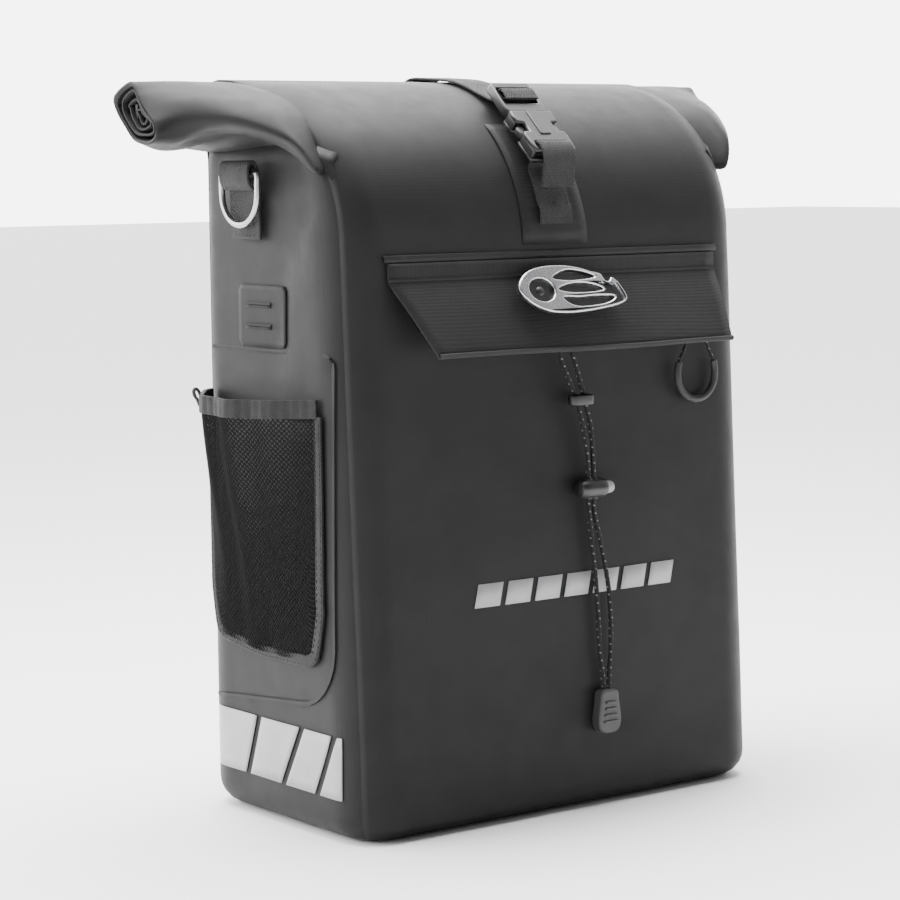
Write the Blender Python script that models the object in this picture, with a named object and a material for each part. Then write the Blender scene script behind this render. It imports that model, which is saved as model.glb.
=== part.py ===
"""Roll-top pannier bag: a welded fabric body on a stiffened back, hung on two sprung rack hooks.

Metres, +Z up. The origin is the middle of the flat base, -Y is the front, and +X is to the right of someone
who looks at the front.
"""

import math

import bmesh
import bpy
from mathutils import Matrix, Vector

# Overall sizes of the body
WIDTH = 0.320  # across the front
BACK_Y = 0.0825  # outer face of the back
FRONT_BASE_Y = -0.0940  # outer face of the front at the floor
FRONT_LEAN = 0.045  # the front leans back by this much for each metre of height
CORNER = 0.030  # radius of the upright corners
BASE_ROUND = 0.016  # radius along the bottom edges
FABRIC = 0.0012  # coated fabric
GAP = 0.0004  # clearance between two pieces that touch
SEAM_WRAP = 0.008  # front and back fabric runs this far past the corner to its weld

# Roof: a quarter ellipse from the top of the front panel to the roll
SHOULDER_Z = 0.352
ROOF_RISE = 0.097
ROOF_REACH = 0.108
BACK_TOP_Z = SHOULDER_Z + 0.052
ROOF_EDGE = 0.018  # the roof's side edges turn down by this much

# Roll closure
ROLL_HALF = WIDTH / 2 + 0.062
ROLL_Y = FRONT_BASE_Y + FRONT_LEAN * SHOULDER_Z + ROOF_REACH + 0.0162
ROLL_THICK = 0.020
ROLL_TALL = 0.036

# Webbing and cord
WEB = 0.025
WEB_THICK = 0.0016
TAB_WEB = 0.032
CORD = 0.003

# Front pocket
HEADER_HALF = WIDTH / 2 - 0.031
HEADER_LOW_Z = SHOULDER_Z - 0.0104
HEADER_TALL = 0.0034
HEADER_THICK = 0.0020
FLAP_BAND = 0.0115  # the flap lies flat on the front for this much below its fold
FLAP_DROP = 0.0440
FLAP_STANDOFF = 0.0212
HOOK_DOWN = -0.0133  # middle of the helmet hook, along the flap from the foot of its flat band
ZIP_Z = HEADER_LOW_Z - 0.0356
ZIP_HALF = HEADER_HALF - 0.011

# Back hardware
RAIL_Z = BACK_TOP_Z - 0.059
RAIL_HALF = WIDTH / 2 - CORNER
RAIL_TALL = 0.024
RAIL_DEEP = 0.009
HOOK_X = 0.095
HOOK_WIDE = 0.026
RACK_TUBE = 0.0165  # widest rack tube that the hooks take
JAW_PIVOT, JAW_DROP = 0.0034, 0.0255  # the jaw's pivot, out from the rail and down from its middle
LOWER_Z = RAIL_Z - 0.150
LOWER_HALF = 0.070

# Buckle, in its own frame: Y along the strap, Z away from the bag
BUCKLE_ARC = math.radians(44)
BUCKLE_WIDE = 0.033
BUCKLE_TALL = 0.010
STRAP_SLOT = 0.0042
LATCH_X, LATCH_Y = 0.0074, 0.0009  # where a latch arm bends

COLOURS = {
    "coated_fabric": ((0.055, 0.056, 0.058), 0.55, 0.0),
    "webbing": ((0.022, 0.022, 0.023), 0.85, 0.0),
    "mesh": ((0.015, 0.015, 0.016), 0.9, 0.0),
    "plastic": ((0.025, 0.025, 0.027), 0.38, 0.0),
    "steel": ((0.62, 0.62, 0.63), 0.28, 1.0),
    "bright_plastic": ((0.60, 0.60, 0.61), 0.35, 0.6),
    "reflective": ((0.72, 0.72, 0.73), 0.4, 0.1),
    "rubber": ((0.03, 0.03, 0.032), 0.6, 0.0),
    "board": ((0.06, 0.06, 0.065), 0.6, 0.0),
    "cord": ((0.03, 0.03, 0.032), 0.8, 0.0),
}
SIDES = {"left": -1, "right": 1}


def front_y(z):
    """Outer face of the front panel at height z."""
    return FRONT_BASE_Y + FRONT_LEAN * z


def roof(angle, out=0.0):
    """(y, z) on the roof's outer face, moved out along the normal; angle 0 is the shoulder and 90 degrees the top."""
    centre_y = front_y(SHOULDER_Z) + ROOF_REACH
    y, z = -ROOF_REACH * math.cos(angle), ROOF_RISE * math.sin(angle)
    normal = Vector((y / ROOF_REACH**2, z / ROOF_RISE**2)).normalized()
    return Vector((centre_y + y, SHOULDER_Z + z)) + normal * out


def material(name):
    made = bpy.data.materials.get(name)
    if made is None:
        made = bpy.data.materials.new(name)
        made.use_nodes = True
        shader = made.node_tree.nodes["Principled BSDF"]
        colour, rough, metal = COLOURS[name]
        shader.inputs["Base Color"].default_value = (*colour, 1)
        shader.inputs["Roughness"].default_value = rough
        shader.inputs["Metallic"].default_value = metal
    return made


def add(name, mesh, look, place=(0, 0, 0), turn_x=0.0):
    """Links a new object, placed and turned about X, with one material."""
    obj = bpy.data.objects.new(name, mesh)
    bpy.context.scene.collection.objects.link(obj)
    obj.location = place
    obj.rotation_euler = (turn_x, 0, 0)
    if look:
        mesh.materials.append(material(look))
    return obj


def from_bmesh(name, bm, look, place=(0, 0, 0), turn_x=0.0, smooth=True):
    bmesh.ops.recalc_face_normals(bm, faces=bm.faces)
    mesh = bpy.data.meshes.new(name)
    bm.to_mesh(mesh)
    bm.free()
    if smooth:
        mesh.shade_smooth()
        mesh.set_sharp_from_angle(angle=math.radians(35))
    return add(name, mesh, look, place, turn_x)


def prism(name, outline, low, high, look, axis="X", **where):
    """A closed outline pushed from low to high along an axis; its two numbers are the other two axes in order."""
    def point(a, b, along):
        return {"X": (along, a, b), "Y": (a, along, b), "Z": (a, b, along)}[axis]

    bm = bmesh.new()
    near = [bm.verts.new(point(a, b, low)) for a, b in outline]
    far = [bm.verts.new(point(a, b, high)) for a, b in outline]
    bm.faces.new(near)
    bm.faces.new(far[::-1])
    for i in range(len(outline)):
        j = (i + 1) % len(outline)
        bm.faces.new((near[i], near[j], far[j], far[i]))
    return from_bmesh(name, bm, look, **where)


def box(name, low, high, look, **where):
    (x0, y0, z0), (x1, y1, z1) = low, high
    return prism(name, [(y0, z0), (y1, z0), (y1, z1), (y0, z1)], x0, x1, look, **where)


def rounded(low, high, radius, steps=3):
    """Outline of a rectangle with round corners."""
    (a0, b0), (a1, b1) = low, high
    corners = ((a1 - radius, b0 + radius, -90), (a1 - radius, b1 - radius, 0),
               (a0 + radius, b1 - radius, 90), (a0 + radius, b0 + radius, 180))
    points = []
    for ca, cb, start in corners:
        for k in range(steps + 1):
            t = math.radians(start + 90 * k / steps)
            points.append((ca + radius * math.cos(t), cb + radius * math.sin(t)))
    return points


def ribbon(name, path, width, thick, look, centre=0.0, axis="X"):
    """Webbing: a line of (a, b) points given thickness to its left and pushed to its width along an axis."""
    path = [Vector(p) for p in path]
    outer = []
    for i, p in enumerate(path):
        before = (p - path[i - 1]).normalized() if i else (path[1] - p).normalized()
        after = (path[i + 1] - p).normalized() if i + 1 < len(path) else before
        normals = [Vector((-d.y, d.x)) for d in (before, after)]
        middle = (normals[0] + normals[1]).normalized()
        outer.append(p + middle * thick / max(0.4, middle.dot(normals[0])))
    outline = [tuple(p) for p in path] + [tuple(p) for p in reversed(outer)]
    return prism(name, outline, centre - width / 2, centre + width / 2, look, axis=axis)


def turned(name, profile, look, centre, axis="Z", steps=20):
    """A solid of revolution from (radius, along) points that end on the axis or form a closed ring."""
    frames = {"X": Matrix(((0, 0, 1), (0, 1, 0), (1, 0, 0))), "Y": Matrix(((1, 0, 0), (0, 0, 1), (0, 1, 0))),
              "Z": Matrix.Identity(3)}
    bm = bmesh.new()
    rings = []
    for k in range(steps):
        t = math.tau * k / steps
        rings.append([bm.verts.new(frames[axis] @ Vector((r * math.cos(t), r * math.sin(t), h))) for r,
                      h in profile])
    closed = profile[0][0] > 1e-9
    spans = len(profile) if closed else len(profile) - 1
    for k in range(steps):
        a, b = rings[k], rings[(k + 1) % steps]
        for i in range(spans):
            j = (i + 1) % len(profile)
            bm.faces.new((a[i], a[j], b[j], b[i]))
    bmesh.ops.remove_doubles(bm, verts=bm.verts, dist=1e-6)
    return from_bmesh(name, bm, look, place=centre)


def cord(name, points, diameter, look, spacing):
    """A tube along a smooth curve through the points, read off at an even spacing."""
    points = [Vector(p) for p in points]
    padded = [2 * points[0] - points[1], *points, 2 * points[-1] - points[-2]]
    fine = []
    for i in range(1, len(padded) - 2):
        p0, p1, p2, p3 = padded[i - 1:i + 3]
        for k in range(24):
            t = k / 24
            fine.append(0.5 * (2 * p1 + (p2 - p0) * t + (2 * p0 - 5 * p1 + 4 * p2 - p3) * t**2
                               + (3 * p1 - p0 - 3 * p2 + p3) * t**3))
    fine.append(points[-1])
    lengths = [0.0]
    for a, b in zip(fine, fine[1:]):
        lengths.append(lengths[-1] + (b - a).length)
    count = max(4, round(lengths[-1] / spacing))
    read, j = [], 0
    for k in range(count + 1):
        want = lengths[-1] * k / count
        while j < len(lengths) - 2 and lengths[j + 1] < want:
            j += 1
        share = (want - lengths[j]) / max(1e-9, lengths[j + 1] - lengths[j])
        read.append(fine[j].lerp(fine[j + 1], share))
    curve = bpy.data.curves.new(name, "CURVE")
    curve.dimensions = "3D"
    curve.bevel_depth = diameter / 2
    curve.bevel_resolution = 2
    curve.use_fill_caps = True
    spline = curve.splines.new("POLY")
    spline.points.add(len(read) - 1)
    for p, q in zip(spline.points, read):
        p.co = (*q, 1)
    obj = bpy.data.objects.new(name, curve)
    bpy.context.scene.collection.objects.link(obj)
    curve.materials.append(material(look))
    return obj


def boolean(obj, other, operation="DIFFERENCE"):
    """Cuts or joins with a helper that is then out of the model."""
    other.hide_render = True
    other.display_type = "WIRE"
    change = obj.modifiers.new(operation.title(), "BOOLEAN")
    change.operation = operation
    change.solver = "EXACT"
    change.object = other
    return obj


def pivot(obj, point):
    """Moves an unturned object's origin to a point and leaves its shape where it is."""
    obj.data.transform(Matrix.Translation(obj.location - Vector(point)))
    obj.location = point
    return obj


def follow(obj, other):
    """obj takes the place and turn of another object."""
    obj.location = other.location
    obj.rotation_euler = other.rotation_euler
    return obj


def skin(name, grid, look, thick=FABRIC):
    """A fabric panel: rows of (point, normal) on its outer face, given thickness inwards."""
    bm = bmesh.new()
    outer = [[bm.verts.new(p) for p, n in row] for row in grid]
    inner = [[bm.verts.new(Vector(p) - Vector(n) * thick) for p, n in row] for row in grid]
    rows, cols = len(grid), len(grid[0])
    for face, step in ((outer, 1), (inner, -1)):
        for i in range(rows - 1):
            for j in range(cols - 1):
                quad = (face[i][j], face[i][j + 1], face[i + 1][j + 1], face[i + 1][j])
                bm.faces.new(quad[::step])
    rim = ([(0, j) for j in range(cols)] + [(i, cols - 1) for i in range(1, rows)]
           + [(rows - 1, j) for j in range(cols - 2, -1, -1)] + [(i, 0) for i in range(rows - 2, 0, -1)])
    for (a, b), (c, d) in zip(rim, rim[1:] + rim[:1]):
        bm.faces.new((outer[a][b], outer[c][d], inner[c][d], inner[a][b]))
    return from_bmesh(name, bm, look)


# ---------------------------------------------------------------- fabric body
def wrap_path(face_y, forward):
    """Plan points and normals of a panel with both upright corners, left to right; forward is -1 at the front."""
    half, points = WIDTH / 2, []
    centre_y = face_y - forward * CORNER
    points.append(((-half, centre_y - forward * SEAM_WRAP), (-1, 0)))
    for k in range(6):
        t = math.radians(90 * k / 5)
        n = (-math.cos(t), forward * math.sin(t))
        points.append(((-half + CORNER + CORNER * n[0], centre_y + CORNER * n[1]), n))
    return points + [((-x, y), (-nx, ny)) for (x, y), (nx, ny) in reversed(points)]


def wrapped_panel(name, low, high, face, forward):
    grid = []
    for z in (low, (low + high) / 2, high):
        row = [((x, y, z), (nx, ny, 0)) for (x, y), (nx, ny) in wrap_path(face(z), forward)]
        grid.append(row)
    return skin(name, grid, "coated_fabric")


def base_tray():
    """The bottom panel: flat on the floor with its edges turned up to meet the walls."""
    low, high = FRONT_BASE_Y, BACK_Y
    middle, deep = (low + high) / 2, high - low
    levels = []
    for k in range(5):
        t = math.radians(90 * k / 4)
        levels.append((BASE_ROUND * (1 - math.sin(t)), BASE_ROUND * (1 - math.cos(t))))
    bm = bmesh.new()
    rings = []
    for inset, wall in ((0.0, 0.0), (FABRIC, FABRIC)):
        group = []
        for shrink, z in levels:
            radius = max(CORNER - shrink - inset, 0.004)
            half_x, half_y = WIDTH / 2 - shrink - inset, deep / 2 - shrink - inset
            height = max(z, wall)
            group.append([bm.verts.new((x, y + middle, height))
                          for x, y in rounded((-half_x, -half_y), (half_x, half_y), radius, 5)])
        rings.append(group)
    outer, inner = rings
    for group in rings:
        for a, b in zip(group, group[1:]):
            for i in range(len(a)):
                j = (i + 1) % len(a)
                bm.faces.new((a[i], a[j], b[j], b[i]))
        bm.faces.new(group[0])
    for i in range(len(outer[-1])):
        j = (i + 1) % len(outer[-1])
        bm.faces.new((outer[-1][i], outer[-1][j], inner[-1][j], inner[-1][i]))
    bmesh.ops.remove_doubles(bm, verts=bm.verts, dist=1e-6)
    return from_bmesh("bottom_panel", bm, "coated_fabric")


def side_panel(side, sign):
    """A flat side wall whose front upper corner follows the roof's edge."""
    seam = CORNER + SEAM_WRAP + GAP
    low_z = BASE_ROUND + GAP
    edge = ROOF_EDGE + GAP
    steepest = math.asin(min(1.0, (BACK_TOP_Z + edge * 0.8 - SHOULDER_Z) / ROOF_RISE))
    outline = [(front_y(low_z) + seam, low_z), (BACK_Y - seam, low_z), (BACK_Y - seam, BACK_TOP_Z)]
    curve = [roof(steepest * (1 - k / 7), -edge) for k in range(8)]
    outline += [(y, min(z, BACK_TOP_Z))
                for y, z in curve] + [(front_y(SHOULDER_Z) + seam, SHOULDER_Z + GAP * 0.5)]
    x = sign * WIDTH / 2
    return prism(f"side_panel_{side}", outline, min(x, x - sign * FABRIC), max(x, x - sign * FABRIC),
                 "coated_fabric")


def roof_panel():
    """The front fabric's continuation over the top, with rolled-down side edges."""
    half, edge = WIDTH / 2, ROOF_EDGE
    across = [(-half, edge)]
    for k in range(1, 5):
        t = math.radians(90 * k / 4)
        across.append((-half + edge * (1 - math.cos(t)), edge * (1 - math.sin(t))))
    across += [(-x, drop) for x, drop in reversed(across)]
    grid = []
    for k in range(13):
        angle = math.radians(0.6 + 89.4 * k / 12)
        row = []
        for x, drop in across:
            y, z = roof(angle, -drop)
            top_y, top_z = roof(angle, 1.0)
            ny, nz = Vector((top_y - y, top_z - z)).normalized()
            lean = max(-1, min(1, (abs(x) - (half - edge)) / edge)) if abs(x) > half - edge else 0
            sign = 1 if x > 0 else -1
            normal = Vector((sign * lean, ny * math.sqrt(1 - lean**2), nz * math.sqrt(1 - lean**2)))
            row.append(((x, y, z), normal.normalized()))
        grid.append(row)
    return skin("roof_panel", grid, "coated_fabric")


def roll_section(scale=1.0, inset=0.0):
    """(y, z) outline of the flattened roll."""
    half_y, half_z = ROLL_THICK / 2 * scale - inset, ROLL_TALL / 2 * scale - inset
    top = SHOULDER_Z + ROOF_RISE
    return [(ROLL_Y + y, top - ROLL_TALL / 2 + z) for y, z in
            rounded((-half_y, -half_z), (half_y, half_z), min(half_y, half_z) * 0.9, 4)]


def roll_closure():
    """The rolled mouth: a flattened bar of fabric, with the slot that its stiffener lies in."""
    bar = prism("roll_closure", roll_section(), -ROLL_HALF, ROLL_HALF, "coated_fabric")
    for side, sign in SIDES.items():
        add_ear(bar, side, sign)
    slot = prism("roll_slot", roll_section(0.35, 0.0), -ROLL_HALF - 0.01, ROLL_HALF + 0.01, None)
    boolean(bar, slot)
    top = SHOULDER_Z + ROOF_RISE
    middle = top - ROLL_TALL / 2
    box("roll_stiffener", (-ROLL_HALF + 0.004, ROLL_Y - 0.0012, middle - 0.0045),
        (ROLL_HALF - 0.004, ROLL_Y + 0.0012, middle + 0.0045), "board")


def add_ear(bar, side, sign):
    """The folded wing that closes the side between the wall and the end of the roll."""
    inner, outer = sign * (WIDTH / 2 + 0.0006), sign * (ROLL_HALF - 0.002)
    top = SHOULDER_Z + ROOF_RISE - 0.009
    low, mid = BACK_TOP_Z - 0.0015, top - 0.020
    near = [(-0.026, low), (0.0800, low), (0.0700, top - 0.006), (ROLL_Y, top), (0.0000, top - 0.006)]
    far = [(ROLL_Y - 0.008, mid), (ROLL_Y + 0.008, mid), (ROLL_Y + 0.008, top - 0.002), (ROLL_Y, top),
           (ROLL_Y - 0.008, top - 0.002)]
    bm = bmesh.new()
    a = [bm.verts.new((inner, y, z)) for y, z in near]
    b = [bm.verts.new((outer, y, z)) for y, z in far]
    bm.faces.new(a)
    bm.faces.new(b[::-1])
    for i in range(5):
        j = (i + 1) % 5
        bm.faces.new((a[i], a[j], b[j], b[i]))
    boolean(bar, from_bmesh(f"roll_ear_{side}", bm, None), "UNION")


def back_yoke():
    """The back fabric's top edge, folded forwards and up to the roll; one piece with the back panel."""
    top = SHOULDER_Z + ROOF_RISE
    low_face = ROLL_Y + ROLL_THICK / 2 + GAP
    path = [(BACK_Y, BACK_TOP_Z - 0.004), (BACK_Y, BACK_TOP_Z + 0.002), (BACK_Y - 0.004, BACK_TOP_Z + 0.012),
            (low_face + 0.006, top - 0.022), (low_face + FABRIC, top - 0.012)]
    yoke = ribbon("back_yoke", path, WIDTH - 2 * CORNER - 0.001, FABRIC, None)
    boolean(bpy.data.objects["back_panel"], yoke, "UNION")


def body():
    base_tray()
    low = BASE_ROUND + GAP
    wrapped_panel("front_panel", low, SHOULDER_Z - GAP, front_y, -1)
    wrapped_panel("back_panel", low, BACK_TOP_Z, lambda z: BACK_Y, 1)
    for side, sign in SIDES.items():
        side_panel(side, sign)
    roof_panel()
    roll_closure()
    back_yoke()
    board_y = BACK_Y - FABRIC - GAP
    half = WIDTH / 2 - CORNER - 0.002
    outline = rounded((-half, 0.030), (half, BACK_TOP_Z - 0.014), 0.012)
    prism("back_board", outline, board_y - 0.003, board_y, "board", axis="Y")


# ---------------------------------------------------------------- front pocket, flap and helmet hook
def on_front(obj):
    """Turns an object built upright at y = 0 so that it lies on the leaning front face."""
    obj.rotation_euler = (-math.atan(FRONT_LEAN), 0, 0)
    return obj


def front_pocket():
    header_top = HEADER_LOW_Z + HEADER_TALL
    y = front_y(HEADER_LOW_Z) - GAP
    on_front(box("header_strip", (-HEADER_HALF, -HEADER_THICK, 0), (HEADER_HALF, 0, HEADER_TALL),
                 "coated_fabric",
                 place=(0, y, HEADER_LOW_Z)))
    patch_low = header_top + 0.0006
    lean_y = front_y(patch_low) - GAP
    on_front(prism("strap_patch", [(-0.025, 0), (0.025, 0), (0.021, SHOULDER_Z - patch_low + 0.004),
                                   (-0.021,
                                    SHOULDER_Z - patch_low + 0.004)], -0.0012, 0, "coated_fabric", axis="Y",
                   place=(0, lean_y, patch_low)))
    zip_y = front_y(ZIP_Z) - GAP
    tape = on_front(box("zip_tape", (-ZIP_HALF, -0.0009, -0.0065), (ZIP_HALF, 0, 0.0065), "webbing",
                        place=(0, zip_y, ZIP_Z)))
    coil = box("zip_coil", (-ZIP_HALF + 0.004, -0.0024, -0.0026), (ZIP_HALF - 0.004, -0.0004, 0.0026), None)
    boolean(tape, follow(coil, tape), "UNION")
    slider_x = ZIP_HALF - 0.0095
    slider = prism("zip_slider", [(-0.0065, -0.0045), (0.0065, -0.0035), (0.0065, 0.0035), (-0.0065, 0.0045)],
                   -0.0046, -0.0028, "steel", axis="Y", place=(slider_x, zip_y, ZIP_Z))
    on_front(slider)
    bridge = box("zip_bridge", (-0.0022, -0.0090, -0.0036), (0.0022, -0.0040, 0.0036), None)
    boolean(slider, follow(bridge, slider), "UNION")
    eye = box("zip_eye", (-0.0100, -0.0080, -0.0022), (0.0100, -0.0046, 0.0022), None)
    boolean(slider, follow(eye, slider))
    zip_pull(slider_x, zip_y - 0.0063)


def zip_pull(x0, y):
    """A teardrop: two cord legs from the slider's bridge into a thick tube bent round the foot."""
    top, half = ZIP_Z, 0.0155
    foot = top - 0.0430
    line = [(0.0, top), (0.0030, top - 0.0006), (0.0046, top - 0.0030), (0.0062, top - 0.0130),
            (0.0110, top - 0.0260), (half, foot + 0.004)]
    arc = [(half * math.cos(math.radians(a)), foot - half * math.sin(math.radians(a)))
           for a in range(10, 91, 20)]
    right = line + arc
    loop = right + [(-a, z) for a, z in reversed(right[1:-1])]
    points = [Vector((x0 + a, y, z)) for a, z in loop]
    thick = [0.0012 if z > foot + 0.003 else 0.0022 for _, z in loop]
    pivot(tube("zip_pull", points, thick, "rubber"), (x0, y, top))


def tube(name, points, radii, look, across=(0, 1, 0), sides=8):
    """A closed ring of round section through points in a plane whose normal is given."""
    side = Vector(across)
    count = len(points)
    bm = bmesh.new()
    rings = []
    for i, p in enumerate(points):
        along = (points[(i + 1) % count] - points[i - 1]).normalized()
        other = side.cross(along).normalized()
        rings.append([bm.verts.new(p + (side * math.cos(t) + other * math.sin(t)) * radii[i])
                      for t in (math.tau * k / sides for k in range(sides))])
    for i in range(count):
        a, b = rings[i], rings[(i + 1) % count]
        for k in range(sides):
            n = (k + 1) % sides
            bm.faces.new((a[k], a[n], b[n], b[k]))
    return from_bmesh(name, bm, look)


def rain_flap():
    """The pocket's rain flap: a flat band that folds at its top, then a sheet that stands off at its foot."""
    hinge_z = HEADER_LOW_Z - GAP
    hinge_y = front_y(hinge_z) - GAP - HEADER_THICK
    bend_z = hinge_z - FLAP_BAND
    bend_y = hinge_y - FRONT_LEAN * FLAP_BAND
    tilt = math.atan(FLAP_STANDOFF / FLAP_DROP)
    half = HEADER_HALF - 0.002
    flat, hanging = (0, -1, FRONT_LEAN), (0, -math.cos(tilt), math.sin(tilt))
    between = (0, -math.cos(tilt / 2), math.sin(tilt / 2))
    grid = [
        [((-half, hinge_y, hinge_z - GAP), flat), ((half + 0.0010, hinge_y, hinge_z - GAP), flat)],
        [((-half, bend_y, bend_z), between), ((half + 0.0015, bend_y, bend_z), between)],
        [((-half + 0.0210, bend_y - FLAP_STANDOFF, bend_z - FLAP_DROP), hanging),
         ((half - 0.0010, bend_y - FLAP_STANDOFF, bend_z - FLAP_DROP), hanging)],
    ]
    pivot(skin("rain_flap", grid, "coated_fabric"), (0, hinge_y, hinge_z))
    # Helmet hook: a dished base on the flap and a bright plate with windows.
    middle = HOOK_DOWN
    bend = Vector((0, bend_y, bend_z))
    hinge = Vector((0, hinge_y, hinge_z))
    upright = Matrix.Rotation(-tilt, 4, "X")
    oval = [(0.026 * math.cos(t), middle + 0.0085 * math.sin(t))
            for t in (math.tau * k / 20 for k in range(20))]
    base = prism("hook_base", oval, -0.0065, -GAP, "plastic", axis="Y", place=bend, turn_x=-tilt)
    plate_y0, plate_y1 = -0.0100, -0.0065 - GAP
    outline = []
    for k in range(28):
        t = math.tau * k / 28
        x = 0.041 * math.cos(t)
        taper = 1.0 - 0.42 * max(0.0, x / 0.041)
        outline.append((x, middle + 0.017 * math.sin(t) * taper - 0.004 * max(0.0, x / 0.041)))
    plate = prism("helmet_hook", outline, plate_y0, plate_y1, "bright_plastic", axis="Y", place=bend,
                  turn_x=-tilt)
    windows = {"eye": ((-0.024, middle), 0.0120, 0.0095), "upper": ((0.006, middle + 0.0085), 0.0150, 0.0028),
               "middle": ((0.008, middle + 0.0012), 0.0120, 0.0026), "lower": ((0.008, middle - 0.0066),
                                                                               0.0120, 0.0024)}
    for key, ((cx, cz), half_x, half_z) in windows.items():
        turns = (math.tau * k / 16 for k in range(16))
        oval = [(cx + half_x * math.cos(t), cz + half_z * math.sin(t)) for t in turns]
        hole = prism(f"window_{key}", oval, plate_y0 - 0.002, plate_y1 + 0.002, None, axis="Y")
        boolean(plate, follow(hole, plate))
    wedge = [(0.026, middle + 0.002), (0.031, middle + 0.004), (0.036, middle + 0.020),
             (0.026, middle + 0.020)]
    notch = prism("notch", wedge, plate_y0 - 0.002, plate_y1 + 0.002, None, axis="Y")
    boolean(plate, follow(notch, plate))
    # The plate and its base turn with the flap, so their origins move to the fold.
    to_fold = upright.inverted() @ (bend - hinge)
    for name in ("hook_base", "helmet_hook", "window_eye", "window_upper", "window_middle", "window_lower",
                 "notch"):
        piece = bpy.data.objects[name]
        piece.data.transform(Matrix.Translation(to_fold))
        piece.location = hinge


# ---------------------------------------------------------------- bungee cord
CORD_TOP_Z = ZIP_Z - 0.0155
GUIDE_Z = CORD_TOP_Z - 0.0365
LOCK_Z = CORD_TOP_Z - 0.0915
TAB_Z = CORD_TOP_Z - 0.2305
CORD_OUT = 0.0090
CORD_CLOSER = 0.0035
STRAND = 0.0021  # half the distance between two strands that lie side by side


def cord_route(side):
    """One strand from the anchor down into the end tab."""
    routes = {
        "left": [(-0.0060, 0), (-0.0056, 0.0065), (-0.0035, 0.0145), (0.0020, 0.0265), (0.0066, 0.0365),
                 (0.0105, 0.0505), (0.0130, 0.0625), (0.0142, 0.0745), (0.0142, 0.0915), (0.0142, 0.1065),
                 (0.0165, 0.1305), (0.0190, 0.1605), (0.0200, 0.1905), (0.0216, 0.2055), (0.0222, 0.2195),
                 (0.0222, 0.2330)],
        "right": [(0.0030, 0), (0.0036, 0.0065), (0.0062, 0.0145), (0.0100, 0.0265), (0.0128, 0.0365),
                  (0.0165, 0.0505), (0.0180, 0.0625), (0.0184, 0.0745), (0.0184, 0.0915), (0.0184, 0.1065),
                  (0.0240, 0.1305), (0.0290, 0.1605), (0.0290, 0.1905), (0.0272, 0.2055), (0.0264, 0.2195),
                  (0.0264, 0.2330)],
    }
    return [(x, cord_y(CORD_TOP_Z - drop), CORD_TOP_Z - drop) for x, drop in routes[side]]


def cord_y(z):
    """The cord's line stands off the front face, a little less towards its foot."""
    return front_y(z) - CORD_OUT + CORD_CLOSER * (CORD_TOP_Z - z) / (CORD_TOP_Z - TAB_Z)


def bungee():
    for side in SIDES:
        cord(f"bungee_cord_{side}", cord_route(side), CORD, "cord", 0.0095)
    y = front_y(CORD_TOP_Z) - CORD_OUT
    box("cord_anchor", (-0.0105, y - 0.0022, CORD_TOP_Z + GAP),
        (0.0075, front_y(CORD_TOP_Z) - GAP - 0.0003, CORD_TOP_Z + 0.0080), "webbing")
    hole = CORD / 2 + 0.0005
    guide_y = cord_y(GUIDE_Z)
    guide = prism("cord_bead", rounded((0.0008, -0.0040), (0.0188, 0.0040), 0.0035), GUIDE_Z - 0.0030,
                  GUIDE_Z + 0.0030, "plastic", axis="Z", place=(0, guide_y, 0))
    wide, deep = hole + 0.0026, hole + 0.0004
    slot = prism("bead_slot", rounded((0.0066 - wide, -deep), (0.0128 + wide, deep), hole * 0.8),
                 GUIDE_Z - 0.006, GUIDE_Z + 0.006, None, axis="Z")
    boolean(guide, follow(slot, guide))
    lock_y = cord_y(LOCK_Z)
    lock_x = 0.0163
    lock = turned("cord_lock", [(0, -0.0100), (0.0048, -0.0100), (0.0058, -0.0085), (0.0058, 0.0085),
                                (0.0050, 0.0100),
                                (0, 0.0100)], "plastic", (lock_x, lock_y, LOCK_Z), axis="X", steps=16)
    way = prism("lock_way", rounded((-STRAND - hole, -hole - 0.0006), (STRAND + hole, hole + 0.0006),
                                    hole * 0.8),
                -0.02, 0.02, None, axis="Z")
    boolean(lock, follow(way, lock))
    socket = turned("lock_socket", [(0, 0.0050), (0.0044, 0.0050), (0.0044, 0.0200), (0, 0.0200)], None,
                    (lock_x, lock_y, LOCK_Z), axis="X", steps=16)
    boolean(lock, socket)
    turned("cord_lock_button", [(0, 0.0078), (0.0040, 0.0078), (0.0040, 0.0150), (0.0028, 0.0165),
                                (0, 0.0165)],
           "bright_plastic", (lock_x, lock_y, LOCK_Z), axis="X", steps=16)
    turned("cord_lock_spring", [(0.0026, 0.0054), (0.0034, 0.0054), (0.0034, 0.0074), (0.0026, 0.0074)],
           "steel",
           (lock_x, lock_y, LOCK_Z), axis="X", steps=16)
    tab_y = cord_y(TAB_Z)
    outline = [(-0.0060, 0.0125), (-0.0090, -0.0060)]
    outline += [(0.0090 * math.cos(t), -0.0060 + 0.0075 * math.sin(t)) for t in
                (math.radians(a) for a in range(200, 341, 20))]
    outline += [(0.0090, -0.0060), (0.0060, 0.0125)]
    tab = prism("cord_end_tab", outline, -0.0038, 0.0038, "rubber", axis="Y", place=(0.0243, tab_y, TAB_Z))
    pocket = prism("tab_socket", rounded((-STRAND - hole, -hole), (STRAND + hole, hole), hole * 0.8),
                   -0.0030, 0.02, None, axis="Z")
    boolean(tab, follow(pocket, tab))


# ---------------------------------------------------------------- closing strap and side-release buckle
def buckle_frame():
    y, z = roof(BUCKLE_ARC, 0.0082)
    a, b = roof(BUCKLE_ARC - 0.05), roof(BUCKLE_ARC + 0.05)
    return (0, y, z), math.atan2((b - a).y, (b - a).x)


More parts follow.
